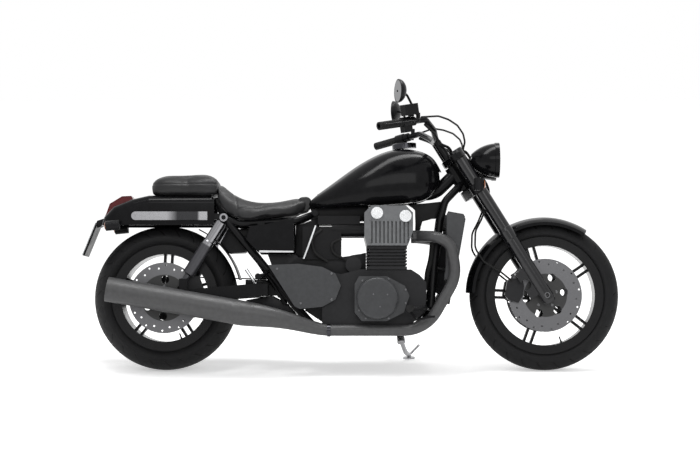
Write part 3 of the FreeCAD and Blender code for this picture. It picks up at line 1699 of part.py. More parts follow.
def tail():
    half = S["rear_fender_half_width"] + GAP
    rail = new_body("fender_rail")
    sketch = new_sketch(rail, "XZ_Plane", half)
    h, length = S["rail_height"], S["rail_length"]
    x0, z0 = aft(182), S["rear_fender_edge"] + 21
    draw_outline(
        sketch,
        [(x0, z0), (x0, z0 + h), (x0 - length, z0 + h), (x0 - length, z0)],
        {2: (h / 2 + 0.01, 1)},
    )
    pad(rail, sketch, S["rail_thickness"])
    node("fender_rails", pair("fender_rails", rail))
    lamp = new_body("tail_lamp")
    sketch = new_sketch(lamp, "XZ_Plane")
    tail_end, crest = aft(-263), number("rear_fender_top")
    rim = [(121, -13), (113, 1), (73, -1), (21, -33), (7, -73), (0, -90), (7, -85), (43, -47)]
    draw_outline(sketch, [(tail_end + ahead, crest + rise) for ahead, rise in rim])
    pad(lamp, sketch, 96, symmetric=True)
    node("tail_lamp", lamp)


def side_stand():
    pivot = vector(S["stand_pivot_x"], S["stand_pivot_y"], S["stand_pivot_z"])
    foot = stand_foot()
    axis, _ = stand_axis()
    leg_r = number("stand_leg_radius")
    knee = pivot + (foot - pivot) * 0.5 - axis * 14
    leg = bent_tube([tuple(pivot), tuple(knee), tuple(foot + floor_normal() * 16)], leg_r, 60)
    boss = Part.makeCylinder(18, 20, pivot - axis * 10, axis)
    pad_foot = Part.makeCylinder(
        number("stand_foot_radius"), number("stand_foot_thickness"), foot, floor_normal()
    )
    ankle = Part.makeCylinder(leg_r, 16, foot + floor_normal() * 2, floor_normal())
    tang_line = [foot + floor_normal() * 14, foot + vector(22, 11, 36), foot + vector(46, 22, 60)]
    tang = bent_tube([tuple(point) for point in tang_line], 5, 30)
    shape = leg.fuse([boss, pad_foot, ankle, tang]).removeSplitter()
    node("side_stand", feature("side_stand", shape))


def floor_normal():
    """The floor's upward normal, on the upright machine."""
    return LEANING.inverse().Rotation.multVec(vector(0, 0, 1))


def stand_foot():
    """Where the stand's foot meets the floor, on the upright machine."""
    x, y = number("stand_foot_x"), number("stand_foot_y")
    height = LEANING.multVec(vector(x, y, 0)).z
    return vector(x, y, -height / floor_normal().z)


def stand_axis():
    """The stand's hinge axis and how far it folds: from its place on the floor to along the frame."""
    pivot = vector(S["stand_pivot_x"], S["stand_pivot_y"], S["stand_pivot_z"])
    down = (stand_foot() - pivot).normalize()
    folded = vector(-1, -0.06, -0.13).normalize()
    axis = down.cross(folded).normalize()
    return axis, math.degrees(down.getAngle(folded))


def foot_controls():
    """Footrests with the brake pedal and the shift lever, and the passenger's pegs behind them."""
    arm_y, x, z = 214, 226, 262
    arm = bent_tube([(320, -122, z), (300, -150, z), (292, -arm_y, z), (x, -arm_y, z)], 9, 30)
    boss = Part.makeCylinder(13, 22, vector(x, -arm_y + 8, z), vector(0, -1, 0))
    pedal = bent_tube([(x + 4, -arm_y, z - 10), (x + 30, -arm_y - 20, z - 48), (x + 84, -arm_y - 40, z - 34)], 6, 20)
    toe = Part.makeBox(34, 44, 9, vector(x + 70, -arm_y - 66, z - 38))
    rest = arm.fuse([boss, pedal, toe]).removeSplitter()
    node("footrest_brackets", feature("footrest_brackets", Part.makeCompound(both_sides(rest))))
    start = -arm_y - 14 - number("seat_gap")
    rubber = Part.makeCylinder(number("peg_radius"), number("peg_length"), vector(x, start, z), vector(0, -1, 0))
    rear_start = vector(-412, -178, 396)
    outside = number("pivot_half_width") + number("frame_tube_radius") + number("seat_gap")
    bracket = bent_tube([(-372, -outside - 1.8, 420), (-384, -150, 404), tuple(rear_start)], 9, 20)
    rear_peg = Part.makeCylinder(13, 88, rear_start + vector(6, 4, 0), vector(0, -1, 0))
    node("foot_peg_rubbers", feature("foot_peg_rubbers", Part.makeCompound(both_sides(rubber))))
    passenger = bracket.fuse(rear_peg).removeSplitter()
    node("passenger_pegs", feature("passenger_pegs", Part.makeCompound(both_sides(passenger))))


def rear_caliper():
    plane = disc_plane("rear")
    body = caliper("rear_caliper", plane, -4, 34, 20)
    face = S["arm_offset"] - S["arm_width"] / 2 - GAP
    lug = block("rear_caliper_lug", 46, face - plane - 12, 36, (104, -face, -4))
    local = FreeCAD.Placement(REAR_AXLE, FreeCAD.Rotation())
    node("rear_caliper", fuse("rear_caliper_whole", [body, lug]), local)


def rear_signals():
    """The rear indicators and the slanted bracket with its blank plate."""
    half = number("rear_fender_half_width")
    stem = Part.makeCylinder(7, 40, vector(aft(-214), -half - number("seat_gap"), 626), vector(0, -1, 0))
    pod = Part.makeCylinder(number("indicator_radius"), 58, vector(aft(-186), -half - 46, 616), vector(-1, 0, -0.1))
    lamp = stem.fuse(pod).removeSplitter()
    node("rear_indicators", feature("rear_indicators", Part.makeCompound(both_sides(lamp))))
    tilt = FreeCAD.Placement(vector(aft(-294), 0, 628), FreeCAD.Rotation(vector(0, 1, 0), 22))
    width, height = number("plate_width"), number("plate_height")
    plate = Part.makeBox(3, width, height, vector(-3, -width / 2, -height))
    back = Part.makeBox(5, width * 0.7, height * 0.9, vector(0.3, -width * 0.35, -height))
    plate.Placement = tilt
    back.Placement = tilt
    arm_side = [(-261, 652), (-272.5, 619), (-312, 600), (-298, 640)]
    outline = [vector(aft(ahead), -30, height) for ahead, height in arm_side]
    arm = Part.Face(Part.makePolygon(outline + outline[:1])).extrude(vector(0, 60, 0))
    carrier = back.fuse(arm).removeSplitter()
    node("plate_bracket", feature("plate_bracket", carrier.cut(plate)))
    node("plate", feature("plate", plate))



def build_all():
    wheels()
    pulley()
    drive_belt()
    fork_legs()
    yokes()
    handlebar()
    controls()
    mirrors()
    headlamps()
    lamp_bracket()
    front_fender()
    front_calipers()
    frame_tubes()
    swingarm()
    shocks()
    crankcase()
    cylinders()
    cylinder_head()
    engine_covers()
    intake()
    radiator()
    exhaust()
    fuel_tank()
    seat()
    rear_fender()
    tail()
    side_stand()
    front_indicators()
    brake_hoses()
    foot_controls()
    rear_caliper()
    rear_signals()


def checked(label, item):
    if "Invalid" in item.State or "Error" in item.State:
        raise ValueError(f"{label} could not be computed")
    if item.Shape.isNull() or not item.Shape.isValid() or not item.Shape.Solids:
        raise ValueError(f"{label} has no valid solid")
    return item.Shape


def set_down():
    """Places every sub-part on the floor, leaning, with the origin under the middle of the whole."""
    doc.recompute()
    low, high = [1e9] * 2, [-1e9] * 2
    for item, local in NODES.values():
        shape = item.Shape.copy()
        shape.Placement = LEANING.multiply(local).multiply(shape.Placement)
        box = shape.optimalBoundingBox(False, False)
        low = [min(low[0], box.XMin), min(low[1], box.YMin)]
        high = [max(high[0], box.XMax), max(high[1], box.YMax)]
    middle = vector((low[0] + high[0]) / 2, (low[1] + high[1]) / 2, 0)
    shift = FreeCAD.Placement(middle * -1, FreeCAD.Rotation())
    final = shift.multiply(LEANING)
    for item, local in NODES.values():
        item.Placement = final.multiply(local)
    doc.recompute()
    return final


def print_facts(final):
    """Prints the joints' points and axes as they are after leaning."""

    def show(name, point, axis):
        spot, way = final.multVec(point), final.Rotation.multVec(axis)
        numbers = [round(v, 4) for v in (*spot, *way)]
        print("fact", name, *numbers)

    across = vector(0, 1, 0)
    show("front_axle", FRONT_AXLE, across)
    show("rear_axle", REAR_AXLE, across)
    show("steering", head_point(600), (head_point(1) - head_point(0)).normalize())
    axis, angle = stand_axis()
    show("stand_pivot", vector(S["stand_pivot_x"], S["stand_pivot_y"], S["stand_pivot_z"]), axis)
    show("stand_foot", stand_foot(), floor_normal())
    end, inward, _, _ = grip_frame()
    show("bar_end_right", FORK.multVec(end), FORK.Rotation.multVec(inward * -1))
    show("seat", vector(-400, 0, 708), vector(0, 0, 1))
    show("pillion", vector(-728, 0, 828), vector(0, 0, 1))
    show("middle", vector(0, 0, 0), across)
    print("fact fold_angle", round(angle, 3))
    span = number("leg_spacing") + number("slider_radius") * 2 + 12
    print("fact axle_bore", number("axle_bore_radius"), round(span, 3))
    print("fact bar_bore", number("bar_bore_radius"), number("bar_bore_depth"))


def main():
    build_all()
    final = set_down()
    os.makedirs("parts", exist_ok=True)
    for label, (item, _) in NODES.items():
        checked(label, item)
    for item in doc.Objects:
        if "Invalid" in item.State or "Error" in item.State:
            raise ValueError(f"{item.Name} could not be computed")
    for label, (item, _) in NODES.items():
        item.Shape.exportStep(os.path.join("parts", label + ".step"))
    print_facts(final)
    print(f"{len(NODES)} sub-parts written")


main()
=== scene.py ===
import json
import math

import bmesh
import bpy
from mathutils import Matrix, Vector
from mathutils.bvhtree import BVHTree


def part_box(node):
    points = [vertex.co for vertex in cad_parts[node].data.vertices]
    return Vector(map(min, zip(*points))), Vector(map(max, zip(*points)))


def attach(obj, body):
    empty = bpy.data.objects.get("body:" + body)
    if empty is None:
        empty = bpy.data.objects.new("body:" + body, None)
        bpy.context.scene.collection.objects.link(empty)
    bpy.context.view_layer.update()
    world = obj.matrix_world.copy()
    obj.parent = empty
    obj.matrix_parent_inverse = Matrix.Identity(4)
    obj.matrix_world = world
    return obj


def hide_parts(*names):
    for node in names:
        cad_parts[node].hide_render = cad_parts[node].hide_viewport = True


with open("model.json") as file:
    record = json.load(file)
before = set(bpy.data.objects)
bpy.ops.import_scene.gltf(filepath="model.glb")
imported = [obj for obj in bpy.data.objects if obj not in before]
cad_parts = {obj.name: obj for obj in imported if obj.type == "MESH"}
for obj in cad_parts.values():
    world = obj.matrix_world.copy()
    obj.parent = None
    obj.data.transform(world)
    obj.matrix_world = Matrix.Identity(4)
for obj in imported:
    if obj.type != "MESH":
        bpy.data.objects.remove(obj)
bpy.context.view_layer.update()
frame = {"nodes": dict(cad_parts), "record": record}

NODES = frame["nodes"]
BODIES = frame["record"]["behaviour"]["bodies"]
JOINTS = {joint["name"]: joint for joint in frame["record"]["behaviour"]["joints"]}
SLOTS = {part["node"]: part["material_slot"] for part in frame["record"]["subparts"]}
MM = 0.001
LEFT, RIGHT = 1, -1
SIDES = ((RIGHT, "right"), (LEFT, "left"))
OUTSIDE = 100  # how far beyond a node's box the rays start that look for its surface, in millimetres
SHARP_ANGLE = math.radians(32)
CLOTH_FRAMES = 20
FLOOR_GLOW = 0.42
WORLD_LIGHT = 0.62
WHITE = (1, 1, 1, 1)


# Frames: the wheels' and the leaning machine's own axes, read from the imported joints


def axes_frame(origin, across, upward):
    """A frame with Y along across and Z as near upward as it can be."""
    y = Vector(across).normalized()
    x = y.cross(Vector(upward)).normalized()
    z = x.cross(y)
    matrix = Matrix((x, y, z)).transposed().to_4x4()
    matrix.translation = Vector(origin)
    return matrix


def joint_frame(name, upward):
    return axes_frame(JOINTS[name]["pos_m"], JOINTS[name]["axis"], upward)


def machine_frame():
    """The upright machine's frame: X forward and Z up its middle plane.

    Its origin lies on the ground, midway between the axles.
    """
    front, rear = FRONT.translation, REAR.translation
    low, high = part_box("front_tyre")
    radius = (high[0] - low[0]) / 2
    machine = REAR.copy()
    x, z = machine.col[0].to_3d(), machine.col[2].to_3d()
    machine.translation = front - x * ((front - rear).dot(x) / 2) - z * radius
    return machine


FRONT = joint_frame("front_wheel_spin", (0, 0, 1))
REAR = joint_frame("rear_wheel_spin", (0, 0, 1))
MACHINE = machine_frame()


def spot(x, y, z, local=MACHINE):
    """A point given in millimetres in the machine's or another frame."""
    return local @ (Vector((x, y, z)) * MM)


def way(x, y, z, local=MACHINE):
    """A direction given in the machine's or another frame."""
    return (local.to_3x3() @ Vector((x, y, z))).normalized()


def node_span(node, local=MACHINE):
    """The lowest and highest corner of a node in a frame, in millimetres."""
    inverse = local.inverted()
    places = [(inverse @ vertex.co) / MM for vertex in NODES[node].data.vertices]
    return [Vector(pick(place[i] for place in places) for i in range(3)) for pick in (min, max)]


# Materials


class Shader:
    """A node material under construction, with one principled shader."""

    def __init__(self, name, color, roughness, metallic=0.0, specular=0.5):
        self.material = bpy.data.materials.new(name)
        self.material.use_nodes = True
        self.tree = self.material.node_tree
        self.surface = self.tree.nodes["Principled BSDF"]
        self.set("Base Color", (*color, 1))
        self.set("Roughness", roughness)
        self.set("Metallic", metallic)
        self.set("Specular IOR Level", specular)
        self.place = self.tree.nodes.new("ShaderNodeTexCoord").outputs["Object"]

    def set(self, socket, value):
        self.surface.inputs[socket].default_value = value

    def feed(self, socket, value):
        """Links a value to a socket, or sets it where it is plain."""
        if isinstance(value, bpy.types.NodeSocket):
            self.tree.links.new(value, socket)
        else:
            socket.default_value = value

    def drive(self, socket, value):
        """Feeds a value to a socket of the principled shader."""
        self.feed(self.surface.inputs[socket], value)

    def math(self, operation, *values):
        node = self.tree.nodes.new("ShaderNodeMath")
        node.operation = operation
        for socket, value in zip(node.inputs, values):
            self.feed(socket, value)
        return node.outputs["Value"]

    def times(self, first, second):
        return self.math("MULTIPLY", first, second)

    def radius(self, first, second):
        """How far a point lies from an axis, from its distances along two ways square to it."""
        squares = [self.times(value, value) for value in (first, second)]
        return self.math("SQRT", self.math("ADD", *squares))

    def along(self, axis, origin):
        """How far a point of the surface lies along axis from origin, in metres."""
        step = self.tree.nodes.new("ShaderNodeVectorMath")
        step.operation = "SUBTRACT"
        self.feed(step.inputs[0], self.place)
        self.feed(step.inputs[1], Vector(origin))
        dot = self.tree.nodes.new("ShaderNodeVectorMath")
        dot.operation = "DOT_PRODUCT"
        self.feed(dot.inputs[0], step.outputs["Vector"])
        self.feed(dot.inputs[1], Vector(axis))
        return dot.outputs["Value"]

    def noise(self, scale, detail=3.0):
        node = self.tree.nodes.new("ShaderNodeTexNoise")
        node.inputs["Scale"].default_value = scale
        node.inputs["Detail"].default_value = detail
        self.feed(node.inputs["Vector"], self.place)
        return node.outputs["Fac"]

    def cells(self, scale):
        node = self.tree.nodes.new("ShaderNodeTexVoronoi")
        node.inputs["Scale"].default_value = scale
        node.feature = "DISTANCE_TO_EDGE"
        self.feed(node.inputs["Vector"], self.place)
        return node.outputs["Distance"]

    def remap(self, factor, low, high, start=0.3, end=0.7):
        node = self.tree.nodes.new("ShaderNodeMapRange")
        for socket, value in zip(node.inputs, (factor, start, end, low, high)):
            self.feed(socket, value)
        return node.outputs["Result"]

    def blend(self, factor, first, second):
        node = self.tree.nodes.new("ShaderNodeMix")
        node.data_type = "RGBA"
        self.feed(node.inputs["A"], (*first, 1))
        self.feed(node.inputs["B"], (*second, 1))
        self.feed(node.inputs["Factor"], factor)
        return node.outputs["Result"]

    def vary_roughness(self, scale, low, high):
        self.drive("Roughness", self.remap(self.noise(scale), low, high))
        return self

    def vary_color(self, scale, first, second):
        factor = self.remap(self.noise(scale, 5.0), 0, 1)
        self.drive("Base Color", self.blend(factor, first, second))
        return self

    def bump(self, height, strength, distance):
        node = self.tree.nodes.new("ShaderNodeBump")
        node.inputs["Strength"].default_value = strength
        node.inputs["Distance"].default_value = distance
        self.feed(node.inputs["Height"], height)
        self.drive("Normal", node.outputs["Normal"])
        return self


def gloss_paint(name, color, specular=0.11):
    shader = Shader(name, color, 0.15, specular=specular)
    shader.vary_roughness(9, 0.12, 0.19)
    shader.vary_color(40, color, tuple(c * 1.35 + 0.001 for c in color))
    return shader.bump(shader.noise(900, 1), 0.02, 0.0003).material


def satin_paint(name, color, roughness, specular=0.12):
    shader = Shader(name, color, roughness, specular=specular)
    shader.vary_roughness(26, roughness * 0.85, roughness * 1.15)
    shader.vary_color(60, color, tuple(c * 1.3 for c in color))
    return shader.bump(shader.noise(1400, 2), 0.12, 0.0002).material


def bare_metal(name, color, roughness, grain=220):
    shader = Shader(name, color, roughness, metallic=1.0)
    shader.vary_roughness(grain, roughness * 0.7, roughness * 1.4)
    shader.vary_color(30, color, tuple(c * 0.86 for c in color))
    return shader.bump(shader.noise(grain * 6, 2), 0.04, 0.0001).material


def rubber(name, color, roughness=0.62):
    shader = Shader(name, color, roughness, specular=0.12)
    shader.vary_roughness(60, roughness * 0.85, roughness * 1.1)
    shader.vary_color(35, color, tuple(c * 1.6 for c in color))
    return shader.bump(shader.noise(700, 4), 0.2, 0.0004).material


def tyre_rubber(name, wheel, crown, radius):
    """Rubber with slanted tread grooves across the crown, coloured darker inside as painted shade, and fine
    rings on the sidewall.

    The crown's half width and the tyre's radius are in metres.
    """
    grooves_round, slant_per_metre, ring_rate = 26, 14.0, 2400
    shader = Shader(name, (0.009, 0.009, 0.009), 0.6, specular=0.14)
    ahead, across, above = (shader.along(wheel.col[i].to_3d(), wheel.translation) for i in range(3))
    turn = shader.math("ARCTAN2", above, ahead)
    side = shader.math("ABSOLUTE", across)
    out = shader.radius(ahead, above)
    around = shader.times(turn, grooves_round / math.tau)
    slant = shader.math("ADD", around, shader.times(side, slant_per_metre))
    stagger = shader.times(shader.math("SIGN", across), 0.25)
    saw = shader.math("FRACT", shader.math("ADD", slant, stagger))
    ridge = shader.math("ABSOLUTE", shader.math("SUBTRACT", saw, 0.5))
    groove = shader.remap(ridge, 1, 0, 0.03, 0.05)
    off_middle = shader.remap(side, 0, 1, 0.007, 0.009)
    before_shoulder = shader.remap(side, 1, 0, crown - 0.008, crown - 0.005)
    on_crown = shader.times(off_middle, before_shoulder)
    sidewall_end = (radius * 0.8, radius * 0.81)
    tread = shader.times(groove, shader.times(on_crown, shader.remap(out, 0, 1, *sidewall_end)))
    waves = shader.math("SINE", shader.times(out, ring_rate))
    rings = shader.times(shader.remap(out, 1, 0, *sidewall_end), waves)
    height = shader.math("ADD", shader.times(tread, -1), shader.times(rings, 0.02))
    # Painted shade: the grooves are coloured darker than the rubber around them.
    shader.drive("Base Color", shader.blend(tread, (0.009, 0.009, 0.0095), (0.0015, 0.0015, 0.0015)))
    shader.vary_roughness(60, 0.52, 0.68)
    return shader.bump(height, 0.9, 0.004).material


def leather(name, color):
    shader = Shader(name, color, 0.42, specular=0.3)
    shader.vary_roughness(45, 0.34, 0.5)
    shader.vary_color(24, color, tuple(c * 1.4 for c in color))
    return shader.bump(shader.cells(420), 0.25, 0.0006).material


def lens(name, color, roughness, transmission):
    shader = Shader(name, color, roughness, specular=0.5)
    shader.set("Transmission Weight", transmission)
    shader.set("IOR", 1.45)
    shader.vary_roughness(30, roughness * 0.8, roughness * 1.3)
    return shader.bump(shader.noise(120, 1), 0.03, 0.0002).material


def two_tone(name, below, above, axis, origin, blur=0.002):
    """Metal or paint that changes from one finish, (color, roughness, metallic), to another along axis."""
    shader = Shader(name, below[0], below[1])
    factor = shader.remap(shader.along(axis, origin), 0, 1, -blur, blur)
    shader.drive("Base Color", shader.blend(factor, below[0], above[0]))
    shader.drive("Roughness", shader.remap(factor, below[1], above[1], 0, 1))
    shader.drive("Metallic", shader.remap(factor, below[2], above[2], 0, 1))
    return shader.bump(shader.noise(900, 2), 0.05, 0.0001).material


def banded(name, axis, pitch, color, roughness):
    """Moulded rubber or fine fins: ribs of a given pitch along axis."""
    shader = Shader(name, color, roughness, specular=0.15)
    wave = shader.math("SINE", shader.times(shader.along(axis, (0, 0, 0)), math.tau / pitch))
    shader.vary_roughness(80, roughness * 0.85, roughness * 1.15)
    shader.vary_color(50, color, tuple(c * 1.5 for c in color))
    return shader.bump(wave, 0.6, pitch * 0.3).material


MATERIALS = {
    "gloss_black": gloss_paint("gloss black paint", (0.003, 0.003, 0.0035)),
    "frame_black": satin_paint("frame paint", (0.004, 0.004, 0.0045), 0.28),
    "engine_black": satin_paint("engine paint", (0.009, 0.009, 0.01), 0.42, 0.2),
    "engine_grey": satin_paint("head paint", (0.095, 0.098, 0.102), 0.36, 0.4),
    "cover_grey": satin_paint("cover paint", (0.027, 0.028, 0.03), 0.36, 0.35),
    "exhaust_black": satin_paint("exhaust coating", (0.042, 0.042, 0.043), 0.42, 0.4),
    "alloy": bare_metal("polished alloy", (0.72, 0.73, 0.74), 0.16),
    "chrome": bare_metal("chrome plate", (0.5, 0.5, 0.52), 0.1, 90),
    "steel": bare_metal("ground steel", (0.13, 0.13, 0.135), 0.34),
    "dark_chrome": bare_metal("dark chrome", (0.045, 0.045, 0.05), 0.14, 90),
    "stand_grey": bare_metal("stand plating", (0.42, 0.42, 0.43), 0.4),
    "wheel_black": satin_paint("wheel paint", (0.004, 0.004, 0.0045), 0.24, 0.2),
    "tyre": rubber("tyre rubber", (0.009, 0.009, 0.009), 0.66),
    "rubber": rubber("moulded rubber", (0.01, 0.01, 0.01)),
    "seat_leather": leather("seat cover", (0.009, 0.009, 0.0095)),
    "black_plastic": satin_paint("black plastic", (0.006, 0.006, 0.0065), 0.4),
    "lens_clear": lens("clear lens", (0.8, 0.82, 0.84), 0.05, 0.9),
    "lens_red": gloss_paint("red lens", (0.07, 0.003, 0.004), 0.3),
    "lens_amber": lens("amber lens", (0.45, 0.12, 0.01), 0.12, 0.4),
    "mirror_glass": bare_metal("mirror glass", (0.06, 0.064, 0.07), 0.03, 40),
    "radiator_black": satin_paint("radiator", (0.008, 0.008, 0.009), 0.5),
    "stanchion": satin_paint("fork leg paint", (0.006, 0.006, 0.007), 0.16, 0.4),
}


def shock_finish():
    """A dark grey damper body below and a bright cover above."""
    low, high = node_span("shocks")
    eye = 36
    line = way(high.x - low.x - eye, 0, high.z - low.z - eye)
    middle = spot((low.x + high.x) / 2 + 12, 0, (low.z + high.z) / 2 + 20)
    damper = ((0.05, 0.05, 0.055), 0.35, 0.6)
    cover = ((0.24, 0.24, 0.25), 0.2, 1.0)
    return two_tone("shock finish", damper, cover, line, middle)


def rail_chrome_with_painted_reflection():
    """A bright chrome fender rail with a painted dark reflection on a section near its front end."""
    shader = Shader("rail chrome with painted reflection", (0.3, 0.3, 0.3), 0.24, metallic=1.0)
    ahead = shader.along(way(1, 0, 0), spot(0, 0, 0))
    # Painted reflection: a section near the front end is coloured dark, standing in for something dark that
    # the chrome reflects there.
    past_start = shader.remap(ahead, 0, 1, -0.8, -0.755)
    before_end = shader.remap(ahead, 1, 0, -0.67, -0.66)
    dark = shader.times(past_start, before_end)
    shader.drive("Base Color", shader.blend(dark, (0.3, 0.3, 0.31), (0.035, 0.035, 0.037)))
    shader.vary_roughness(120, 0.18, 0.32)
    return shader.bump(shader.noise(600, 2), 0.04, 0.0001).material


def disc_finish(name, wheel, carrier):
    """A ground brake disc with fine turning marks and a black carrier, whose radius is in metres."""
    shader = Shader(name, (0.15, 0.15, 0.155), 0.36)
    ahead, above = (shader.along(wheel.col[i].to_3d(), wheel.translation) for i in (0, 2))
    out = shader.radius(ahead, above)
    ring = shader.remap(out, 0, 1, carrier - 0.001, carrier + 0.001)
    shader.drive("Base Color", shader.blend(ring, (0.006, 0.006, 0.006), (0.125, 0.125, 0.13)))
    shader.drive("Metallic", ring)
    shader.vary_roughness(160, 0.3, 0.42)
    return shader.bump(shader.math("SINE", shader.times(out, 9000)), 0.06, 0.0002).material


def node_materials():
    """The nodes whose finish depends on their own shape."""
    grip_way = Vector(frame["record"]["mounts"][0]["axis"])
    return {
        "front_tyre": tyre_rubber("front tyre rubber", FRONT, crown=0.059, radius=0.32),
        "rear_tyre": tyre_rubber("rear tyre rubber", REAR, crown=0.094, radius=0.308),
        "front_discs": disc_finish("front disc finish", FRONT, carrier=0.092),
        "rear_disc": disc_finish("rear disc finish", REAR, carrier=0.098),
        "shocks": shock_finish(),
        "fender_rails": rail_chrome_with_painted_reflection(),
        "side_stand": MATERIALS["stand_grey"],
        "tank_dial": MATERIALS["dark_chrome"],
        "grips": banded("grip rubber", grip_way, 0.005, (0.01, 0.01, 0.01), 0.6),
        "foot_peg_rubbers": banded("peg rubber", way(0, 1, 0), 0.008, (0.01, 0.01, 0.01), 0.6),
        "radiator": banded("radiator fins", way(0, 0, 1), 0.0035, (0.009, 0.009, 0.01), 0.5),
    }


def dress(piece, material):
    """Gives a piece its material and smooth shading with crisp edges."""
    piece.data.materials.clear()
    piece.data.materials.append(material)
    piece.data.polygons.foreach_set("use_smooth", [True] * len(piece.data.polygons))
    piece.data.set_sharp_from_angle(angle=SHARP_ANGLE)


def dress_nodes():
    special = node_materials()
    for name, node in NODES.items():
        dress(node, special.get(name, MATERIALS[SLOTS[name]]))


# Pieces


def body_of(node):
    return next(name for name, nodes in BODIES.items() if node in nodes)


def add_piece(name, bm, material, body):
    """A finished mesh as a piece of the object that rides on a body."""
    bmesh.ops.recalc_face_normals(bm, faces=bm.faces)
    mesh = bpy.data.meshes.new(name)
    bm.to_mesh(mesh)
    bm.free()
    piece = bpy.data.objects.new(name, mesh)
    bpy.context.scene.collection.objects.link(piece)
    dress(piece, MATERIALS[material])
    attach(piece, body)
    return piece


def facing(origin, direction, upward=(0, 0, 1)):
    """A frame at origin whose Z points along direction."""
    z = Vector(direction).normalized()
    side = Vector(upward) if abs(z.dot(Vector(upward))) < 0.95 else Vector((1, 0, 0))
    x = side.cross(z).normalized()
    matrix = Matrix((x, z.cross(x), z)).transposed().to_4x4()
    matrix.translation = Vector(origin)
    return matrix


def turn_steps(count, start=0.0):
    """The angles that divide a full turn into count equal steps."""
    return [start + math.tau * k / count for k in range(count)]


def wall(bm, lower, upper):
    """Faces between two closed rows of as many points."""
    for k in range(len(lower)):
        bm.faces.new((lower[k], lower[k - 1], upper[k - 1], upper[k]))


def lathe(bm, local, profile, segments=32):
    """Turns a profile of (radius, height) in millimetres about the Z of a frame."""
    rings = []
    for radius, height in profile:
        points = [(radius * math.cos(a), radius * math.sin(a), height) for a in turn_steps(segments)]
        rings.append([bm.verts.new(spot(*point, local)) for point in points])
    for lower, upper in zip(rings, rings[1:]):
        wall(bm, lower, upper)
    return rings


def cap(bm, ring):
    bm.faces.new(ring)


TREES = {}


def surface_hit(node, origin, direction):
    """Where a ray first meets a node, and the surface's normal there."""
    mesh = NODES[node].data
    if node not in TREES:
        corners = [vertex.co for vertex in mesh.vertices]
        TREES[node] = BVHTree.FromPolygons(corners, [polygon.vertices for polygon in mesh.polygons])
    place, normal, _, _ = TREES[node].ray_cast(Vector(origin), Vector(direction).normalized())
    return place, normal


def bolt(bm, seat, outward, radius, height):
    """A socket-head bolt that stands on seat."""
    local = facing(seat - outward * 0.0004, outward)
    socket = radius * 0.5
    profile = [
        (radius, 0),
        (radius, height * 0.8),
        (radius * 0.86, height),
        (socket, height),
        (socket, height * 0.45),
    ]
    rings = lathe(bm, local, profile, 12)
    cap(bm, rings[0])
    cap(bm, rings[-1][::-1])


def bolts(name, node, places, inward, radius=4.5, height=4.0):
    """A bolt on a node's surface at each place, found by looking inward from outside."""
    bm = bmesh.new()
    for place in places:
        seat, normal = surface_hit(node, place, inward)
        if seat is not None and abs(normal.dot(inward)) > 0.7:
            bolt(bm, seat, -Vector(inward).normalized(), radius, height)
    add_piece(name, bm, "steel", body_of(node))


def circle_places(local, centre, radius, count, start=0.0):
    """Places on a circle round centre, (x, y, z), in a frame's X-Z plane."""
    x, y, z = centre
    turns = turn_steps(count, start)
    return [spot(x + radius * math.cos(a), y, z + radius * math.sin(a), local) for a in turns]


def cover_bolts():
    low, high = node_span("clutch_cover")
    middle = (low + high) / 2
    width, height = high.x - low.x, high.z - low.z
    outline = [(0.08, 0.24), (0.14, 0.9), (0.62, 0.94), (0.93, 0.7), (0.93, 0.4), (0.62, 0.06), (0.2, 0.06)]
    places = [spot(low.x + u * width, low.y - OUTSIDE, low.z + v * height) for u, v in outline]
    bolts("clutch_cover_bolts", "clutch_cover", places, way(0, 1, 0))
    places = circle_places(MACHINE, (middle.x - 8, low.y - OUTSIDE, middle.z), 34, 3, 0.5)
    bolts("clutch_cap_bolts", "clutch_cover", places, way(0, 1, 0), radius=3.5, height=3)
    low, high = node_span("alternator_cover")
    middle = (low + high) / 2
    places = circle_places(MACHINE, (middle.x, high.y + OUTSIDE, middle.z), (high.x - low.x) / 2 - 26, 8)
    bolts("alternator_cover_bolts", "alternator_cover", places, way(0, -1, 0))
    for side, name in SIDES:
        places = [spot(x, side * 400, z) for x, z in ((-100, 300), (-100, 410), (-230, 285), (-330, 430))]
        bolts(f"lower_cover_bolts_{name}", "lower_side_covers", places, way(0, -side, 0), radius=5, height=3)
        places = [spot(x, side * 400, z) for x, z in ((62, 545), (62, 640), (220, 560), (220, 640))]
        bolts(f"head_bolts_{name}", "cylinder_head", places, way(0, -side, 0), radius=5.5, height=4)


def wheel_bolts():
    for side, name in SIDES:
        places = circle_places(FRONT, (0, side * 200, 0), 50, 5, 0.3)
        bolts(f"front_disc_bolts_{name}", "front_discs", places, way(0, -side, 0, FRONT), radius=6, height=4)
    places = circle_places(REAR, (0, -300, 0), 50, 5, 0.3)
    bolts("rear_disc_bolts", "rear_disc", places, way(0, 1, 0, REAR), radius=6, height=4)
    places = circle_places(REAR, (0, 300, 0), 52, 5, 0.3)
    bolts("rear_pulley_bolts", "rear_pulley", places, way(0, -1, 0, REAR), radius=7, height=6)


def axle_nuts():
    """A washer and a hexagon nut on each end of the rear axle."""
    bm = bmesh.new()
    bore = 12.2
    low, high = node_span("rear_axle", REAR)
    arm = node_span("swingarm", REAR)
    for side, face, tip in ((RIGHT, arm[0].y, low.y), (LEFT, arm[1].y, high.y)):
        reach = abs(tip - face) - 1
        local = facing(spot(0, face, 0, REAR), way(0, side, 0, REAR))
        lathe(bm, local, [(bore, 0.2), (24, 0.2), (24, 2.4), (bore, 2.4)], 32)
        lathe(bm, local, [(bore, 2.4), (20, 2.4), (20, reach - 1.5), (17.5, reach), (bore, reach)], 6)
    add_piece("rear_axle_nuts", bm, "steel", body_of("rear_axle"))


